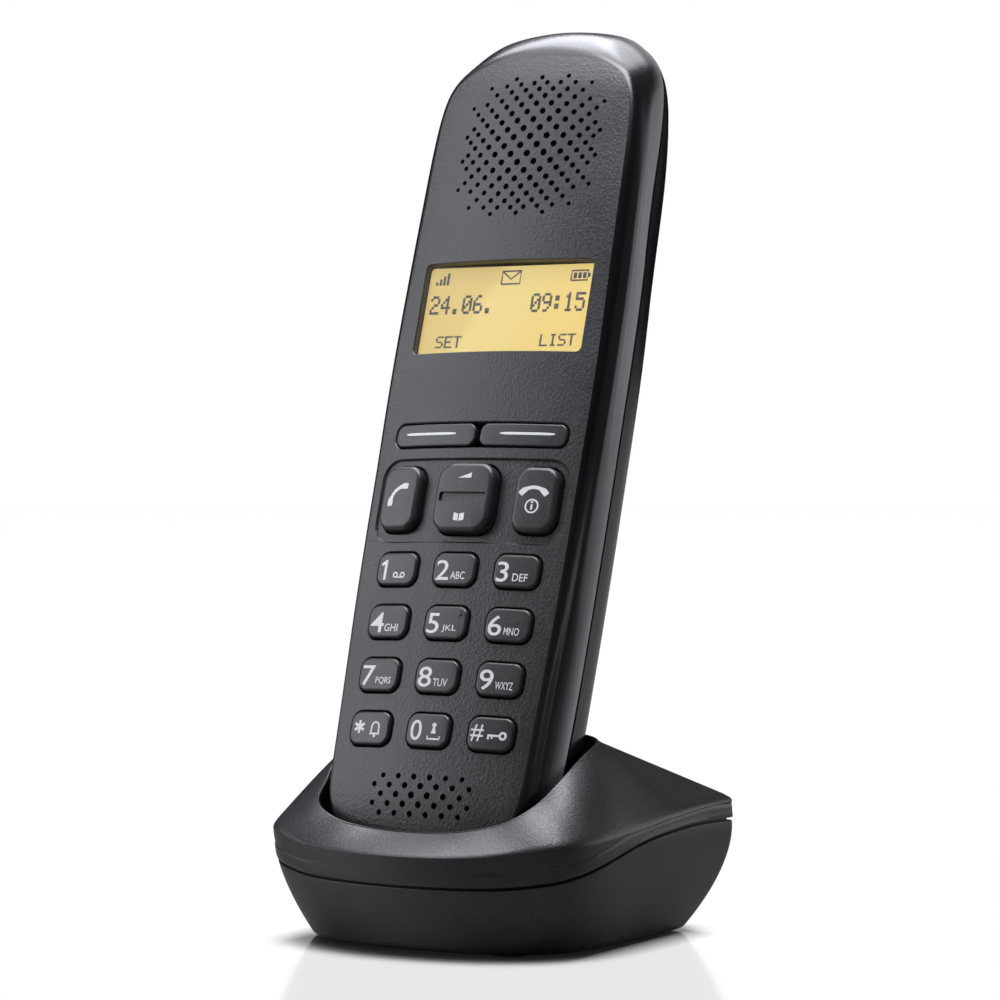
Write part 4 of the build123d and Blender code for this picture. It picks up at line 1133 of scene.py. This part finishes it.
LETTERS = {"1": None, "2": "ABC", "3": "DEF", "4": "GHI", "5": "JKL", "6": "MNO", "7": "PQRS", "8": "TUV", "9": "WXYZ"}
NAMES = (("1", "2", "3"), ("4", "5", "6"), ("7", "8", "9"), ("star", "0", "hash"))
for r, v in enumerate(DIGIT_V):
    for c, u in enumerate(DIGIT_U):
        n = NAMES[r][c]
        sh = []
        if n in "123456789":
            if n == "1":
                sh.append(moved(poly([(0.95, 0.0), (1.5, 0.0), (1.5, 3.55), (1.05, 3.55), (0.95, 3.3)]), u - 3.55, v - 2.0))
                sh.append(moved(poly([(0.25, 2.5), (1.0, 2.75), (1.0, 3.4), (0.25, 2.95)]), u - 3.55, v - 2.0))
            else:
                d = text_shape(n, 3.55)
                d[0][:, 0] *= 1.2
                sh.append(moved(d, u - 3.55, v - 2.0))
            if LETTERS[n]:
                wide = 2.85 if len(LETTERS[n]) == 3 else 3.3
                sh.append(moved(text_shape(LETTERS[n], 1.35, wide), u - 0.45, v - 1.8))
            else:
                for s in (-1, 1):
                    sh.append(thick_path(arc(u + 0.75 + s * 0.75, v - 1.15, 0.42, 0, 338, 14), 0.13, True))
                sh.append(poly([(u + 0.0, v - 1.68), (u + 1.5, v - 1.68), (u + 1.5, v - 1.46), (u + 0.0, v - 1.46)]))
        elif n == "0":
            d = text_shape("0", 3.55)
            sh.append(moved(d, u - 3.35, v - 1.85))
            sh.append(thick_path([(u + 0.2, v - 1.0), (u + 0.2, v - 1.5), (u + 2.6, v - 1.5), (u + 2.6, v - 1.0)], 0.15))
            sh.append(disc(u + 1.3, v + 0.9, 0.42))
            sh.append(poly([(u + 1.1, v + 0.5), (u + 1.5, v + 0.5), (u + 1.8, v - 0.55), (u + 0.8, v - 0.55)]))
        elif n == "star":
            for a in (0, 60, 120):
                x, y = math.cos(math.radians(a + 90)) * 1.15, math.sin(math.radians(a + 90)) * 1.15
                sh.append(thick_path([(u - 2.2 - x, v + 0.15 - y), (u - 2.2 + x, v + 0.15 + y)], 0.24))
            bell = np.vstack([arc(u + 1.25, v + 0.25, 0.75, 180, 0, 12), [(u + 2.05, v - 0.75), (u + 2.35, v - 1.0)],
                              [(u + 0.15, v - 1.0), (u + 0.45, v - 0.75)]])
            sh.append(thick_path(bell, 0.16, True))
            sh.append(disc(u + 1.25, v - 1.4, 0.27))
        else:
            d = text_shape("#", 2.9)
            sh.append(moved(d, u - 3.6, v - 1.4))
            sh.append(thick_path(arc(u + 2.45, v - 0.25, 0.55, 0, 340, 16), 0.2, True))
            sh.append(poly([(u - 0.4, v - 0.42), (u + 1.95, v - 0.42), (u + 1.95, v - 0.08), (u - 0.4, v - 0.08)]))
            sh.append(poly([(u - 0.4, v - 0.95), (u + 0.0, v - 0.95), (u + 0.0, v - 0.4), (u - 0.4, v - 0.4)]))
            sh.append(poly([(u + 0.3, v - 0.8), (u + 0.65, v - 0.8), (u + 0.65, v - 0.4), (u + 0.3, v - 0.4)]))
        decal("legend_" + n, sh, key_top(DIGIT_UP), "key_" + n, INK)

decal("legend_talk", [receiver(-13.7, 52.5, 2.85, 46)], key_top(1.45), "talk_key", INK)
end = [receiver(13.45, 53.0, 2.9, 0)]
end.append(thick_path(arc(13.45, 50.9, 1.15, 0, 340, 20), 0.15, True))
end.append(poly([(13.27, 50.25), (13.63, 50.25), (13.63, 51.2), (13.27, 51.2)]))
end.append(disc(13.45, 51.6, 0.2, 10))
decal("legend_end", end, key_top(1.2), "end_key", INK)
nav = [poly([(-1.3, 55.5), (1.3, 55.5), (1.3, 56.45)])]
for s in (-1, 1):
    nav.append(poly([(s * 0.1, 47.75), (s * 1.05, 47.95), (s * 1.05, 49.25), (s * 0.1, 49.05)][::s]))
decal("legend_nav", nav, key_top(1.85), "nav_key", INK)
for side, s in (("left", -1), ("right", 1)):
    a, b = sorted((s * 4.5, s * 15.1))
    bar = thick_path([(x, 64.1) for x in np.linspace(a, b, 15)], 0.22,
                     taper=[0.1, 0.2] + [0.23] * 11 + [0.2, 0.1])
    decal("legend_soft_" + side, [bar], key_top(0.15), "soft_key_" + side, INK, 0.02)

# ------------------------------------------------------------------ display
PIXEL = {
    "0": "01110 10001 10011 10101 11001 10001 01110", "1": "00100 01100 00100 00100 00100 00100 01110",
    "2": "01110 10001 00001 00110 01000 10000 11111", "4": "00010 00110 01010 10010 11111 00010 00010",
    "5": "11111 10000 11110 00001 00001 10001 01110", "6": "00110 01000 10000 11110 10001 10001 01110",
    "9": "01110 10001 10001 01111 00001 00010 01100", ".": "00000 00000 00000 00000 00000 01100 01100",
    ":": "00000 01100 01100 00000 01100 01100 00000", "S": "01111 10000 10000 01110 00001 00001 11110",
    "E": "11111 10000 10000 11110 10000 10000 11111", "T": "11111 00100 00100 00100 00100 00100 00100",
    "L": "10000 10000 10000 10000 10000 10000 11111", "I": "01110 00100 00100 00100 00100 00100 01110",
}


def pixels(text, u, v, pu, pv):
    out = []
    for k, ch in enumerate(text):
        for r, row in enumerate(PIXEL[ch].split()):
            c = 0
            while c < 5:
                e = c
                while e < 5 and row[e] == "1":
                    e += 1
                if e > c:
                    x0, x1 = u + (k * 6 + c - 0.12) * pu, u + (k * 6 + e + 0.16) * pu
                    y = v + (6 - r) * pv
                    out.append(poly([(x0, y), (x1, y), (x1, y + pv * 0.97), (x0, y + pv * 0.97)]))
                c = e + 1
    return out


LCD_W = -2.47
flat = lambda u, v: LCD_W
panel = round_rect(-16.95, 16.95, 79.45, 95.85, 0.8, 6)
decal("display_panel", [poly(panel)], lambda u, v: LCD_W - 0.02, "handset", AMBER, 0.0, 0.02)
ink = pixels("24.06.", -16.0, 87.1, 0.375, 0.5) + pixels("09:15", 4.9, 87.1, 0.375, 0.5)
ink += pixels("SET", -13.6, 80.75, 0.31, 0.32) + pixels("LIST", 7.9, 80.75, 0.31, 0.32)
for k in range(4):
    ink.append(poly([(-15.6 + k * 0.75, 92.6), (-15.1 + k * 0.75, 92.6), (-15.1 + k * 0.75, 93.2 + k * 0.55), (-15.6 + k * 0.75, 93.2 + k * 0.55)]))
env = [(-1.9, 92.5), (1.9, 92.5), (1.9, 94.9), (-1.9, 94.9)]
ink.append(thick_path([env[0], env[1], env[2], env[3], env[0]], 0.16))
ink.append(thick_path([env[3], (0, 93.4), env[2]], 0.15))
ink.append(thick_path([(12.3, 92.8), (15.6, 92.8), (15.6, 94.6), (12.3, 94.6), (12.3, 92.8)], 0.16))
ink.append(poly([(15.7, 93.3), (16.1, 93.3), (16.1, 94.1), (15.7, 94.1)]))
for k in range(3):
    ink.append(poly([(12.7 + k * 0.95, 93.15), (13.4 + k * 0.95, 93.15), (13.4 + k * 0.95, 94.25), (12.7 + k * 0.95, 94.25)]))
decal("display_marks", ink, flat, "handset", LCD_INK, 0.006, 0.008)

# ------------------------------------------------------------------ materials on the carried-over solids
KEYS = ["key_%d" % k for k in range(10)] + ["key_star", "key_hash", "talk_key", "nav_key", "end_key",
                                              "soft_key_left", "soft_key_right", "paging_button"]
LOOKS = {"back_shell": BACK, "battery_cover": BACK, "display_window": LENS, "display_module": DRIVER, "handset_shield": TIN,
         "handset_circuit_board": PCB, "keypad_mat": SILICONE, "earpiece_gasket": SILICONE, "earpiece_speaker": DRIVER,
         "microphone": TIN, "microphone_boot": SILICONE, "ringer_speaker": DRIVER, "battery_cells": SLEEVE,
         "battery_contacts": NICKEL, "battery_springs": NICKEL, "handset_charge_contacts": PLATED,
         "base_feet": RUBBER, "base_screws": SCREW, "base_circuit_board": PCB,
         "base_shield": TIN, "base_capacitors": CAN, "line_socket": SOCKET, "line_socket_contacts": PLATED,
         "power_socket": SOCKET, "power_socket_pin": NICKEL, "paging_switch": SOCKET,
         "charge_contact_left": NICKEL, "charge_contact_right": NICKEL}
for k in KEYS:
    LOOKS[k] = KEYCAP
for name, mat in LOOKS.items():
    ob = nodes[name]
    ob.data.materials.clear()
    ob.data.materials.append(mat)
    wd = ob.modifiers.new("weld", "WELD")
    wd.merge_threshold = 2e-6
    sp = ob.modifiers.new("edges", "EDGE_SPLIT")
    sp.split_angle = math.radians(28.0)
    sp.use_edge_sharp = False
    ob.data.polygons.foreach_set("use_smooth", np.ones(len(ob.data.polygons), bool))

# ------------------------------------------------------------------ stage, light, camera
MIC = Vector((0.0, SHIFT_Y * 1e-3, MIC_Z * 1e-3))
AZ, EL = math.radians(31.455), math.radians(0.783)
back = Vector((math.sin(AZ) * math.cos(EL), -math.cos(AZ) * math.cos(EL), math.sin(EL)))
cam_data = bpy.data.cameras.new("camera")
cam_data.lens = 117.28
cam_data.sensor_width = 36.0
cam_data.clip_start = 0.01
cam = bpy.data.objects.new("camera", cam_data)
cam.location = MIC + Vector((0.29831, -0.46131, 0.05736))
cam.rotation_euler = (-back).to_track_quat("-Z", "Y").to_euler()
scene.collection.objects.link(cam)
scene.camera = cam
scene.view_settings.view_transform = "Standard"

world = bpy.data.worlds.new("studio")
scene.world = world
world.use_nodes = True
wt = world.node_tree
wt.nodes.clear()
wo = wt.nodes.new("ShaderNodeOutputWorld")
white = wt.nodes.new("ShaderNodeBackground")
white.inputs["Color"].default_value = (1, 1, 1, 1)
white.inputs["Strength"].default_value = 1.0
dim = wt.nodes.new("ShaderNodeBackground")
dim.inputs["Color"].default_value = (1.0, 1.0, 1.0, 1)
dim.inputs["Strength"].default_value = 0.02
lp = wt.nodes.new("ShaderNodeLightPath")
mx = wt.nodes.new("ShaderNodeMixShader")
wt.links.new(lp.outputs["Is Camera Ray"], mx.inputs[0])
wt.links.new(dim.outputs[0], mx.inputs[1])
wt.links.new(white.outputs[0], mx.inputs[2])
wt.links.new(mx.outputs[0], wo.inputs["Surface"])


def stage_plane(name, corners, mat):
    me = bpy.data.meshes.new(name)
    me.from_pydata(corners, [], [(0, 1, 2, 3)])
    me.materials.append(mat)
    ob = bpy.data.objects.new(name, me)
    scene.collection.objects.link(ob)
    return ob


gf = Graph("floor_pale")
em = gf.node("ShaderNodeEmission")
ao = gf.node("ShaderNodeAmbientOcclusion")
ao.inputs["Distance"].default_value = 0.02
ao.samples = 24
shade = gf.ramp(ao.outputs["AO"], [(0.25, (0.012, 0.012, 0.012)), (0.48, (0.03, 0.03, 0.03)), (0.58, (0.3, 0.3, 0.3)), (0.65, (0.85, 0.85, 0.85)), (0.72, (1, 1, 1))])
# the shadow lies under the hull only, and fades out past its two ends
fc = gf.node("ShaderNodeTexCoord")
fx = gf.node("ShaderNodeSeparateXYZ")
gf.link(fc.outputs["Object"], fx.inputs[0])
ends = gf.math("MAXIMUM", gf.span(fx.outputs["X"], -0.031, -0.024, 1.0, 0.0), gf.span(fx.outputs["X"], 0.028, 0.036, 0.0, 1.0))
lift = gf.node("ShaderNodeMix", data_type="RGBA", blend_type="MIX")
gf.link(ends, lift.inputs["Factor"])
gf.link(shade, lift.inputs[6])
lift.inputs[7].default_value = (1.0, 1.0, 1.0, 1.0)
gf.link(lift.outputs[2], em.inputs["Color"])
lp2 = gf.node("ShaderNodeLightPath")
gf.link(gf.span(lp2.outputs["Is Camera Ray"], 0.0, 1.0, 0.14, 1.09), em.inputs["Strength"])
gg = gf.node("ShaderNodeBsdfGlossy")
gg.inputs["Roughness"].default_value = 0.12
fm = gf.node("ShaderNodeMixShader")
fm.inputs[0].default_value = 0.27
gf.link(em.outputs[0], fm.inputs[1])
gf.link(gg.outputs[0], fm.inputs[2])
gf.link(fm.outputs[0], gf.out.inputs["Surface"])
floor = stage_plane("floor", [(-6, -6, 0), (6, -6, 0), (6, 6, 0), (-6, 6, 0)], gf.mat)

# white card that only the floor sees, so that the floor mirrors a pale room
gc = Graph("card_white")
ce = gc.node("ShaderNodeEmission")
ce.inputs["Strength"].default_value = 1.0
gc.link(ce.outputs[0], gc.out.inputs["Surface"])
fwd = Vector((-math.sin(AZ), math.cos(AZ), 0))
rgt = Vector((math.cos(AZ), math.sin(AZ), 0))
c0 = Vector((0, 0, 0)) + fwd * 5.0
card = stage_plane("card", [tuple(c0 - rgt * 6), tuple(c0 + rgt * 6), tuple(c0 + rgt * 6 + Vector((0, 0, 6))), tuple(c0 - rgt * 6 + Vector((0, 0, 6)))], gc.mat)
only = bpy.data.collections.new("floor_only")
only.objects.link(floor)
card.light_linking.receiver_collection = only


def softbox(name, direction, distance, w, h, power, target=(0, 0, 0.08), color=(1, 1, 1)):
    d = Vector(direction).normalized()
    L = bpy.data.lights.new(name, "AREA")
    L.shape = "RECTANGLE"
    L.size, L.size_y = w, h
    L.energy = power
    L.color = color
    ob = bpy.data.objects.new(name, L)
    ob.location = Vector(target) + d * distance
    ob.rotation_euler = (-d).to_track_quat("-Z", "Y").to_euler()
    scene.collection.objects.link(ob)
    ob.visible_camera = False
    return ob


def panel(az, el, radiance, distance=1.0, size=0.5):
    """Square light at a bearing from the front and a height angle, with a given brightness."""
    a, e = math.radians(az), math.radians(el)
    d = (math.sin(a) * math.cos(e), -math.cos(a) * math.cos(e), math.sin(e))
    side = size * distance
    return softbox("panel_%d_%d" % (az, el), d, distance, side, side, radiance * math.pi * side * side, color=(0.965, 0.985, 1.05))


for az, el, radiance, distance in ((-130, 64, 9.5, 0.55), (-60, 65, 3.6, 0.5), (-50, 38, 2.6, 0.6), (-45, 12, 3.0, 1.0), (-70, 12, 1.9, 1.0),
                                   (100, 12, 0.12, 1.0), (125, 12, 1.6, 1.0), (150, 12, 1.5, 1.0),
                                   (0, 88, 3.4, 0.6), (30, 75, 13.0, 0.24), (180, 65, 6.0, 0.8)):
    panel(az, el, radiance, distance)
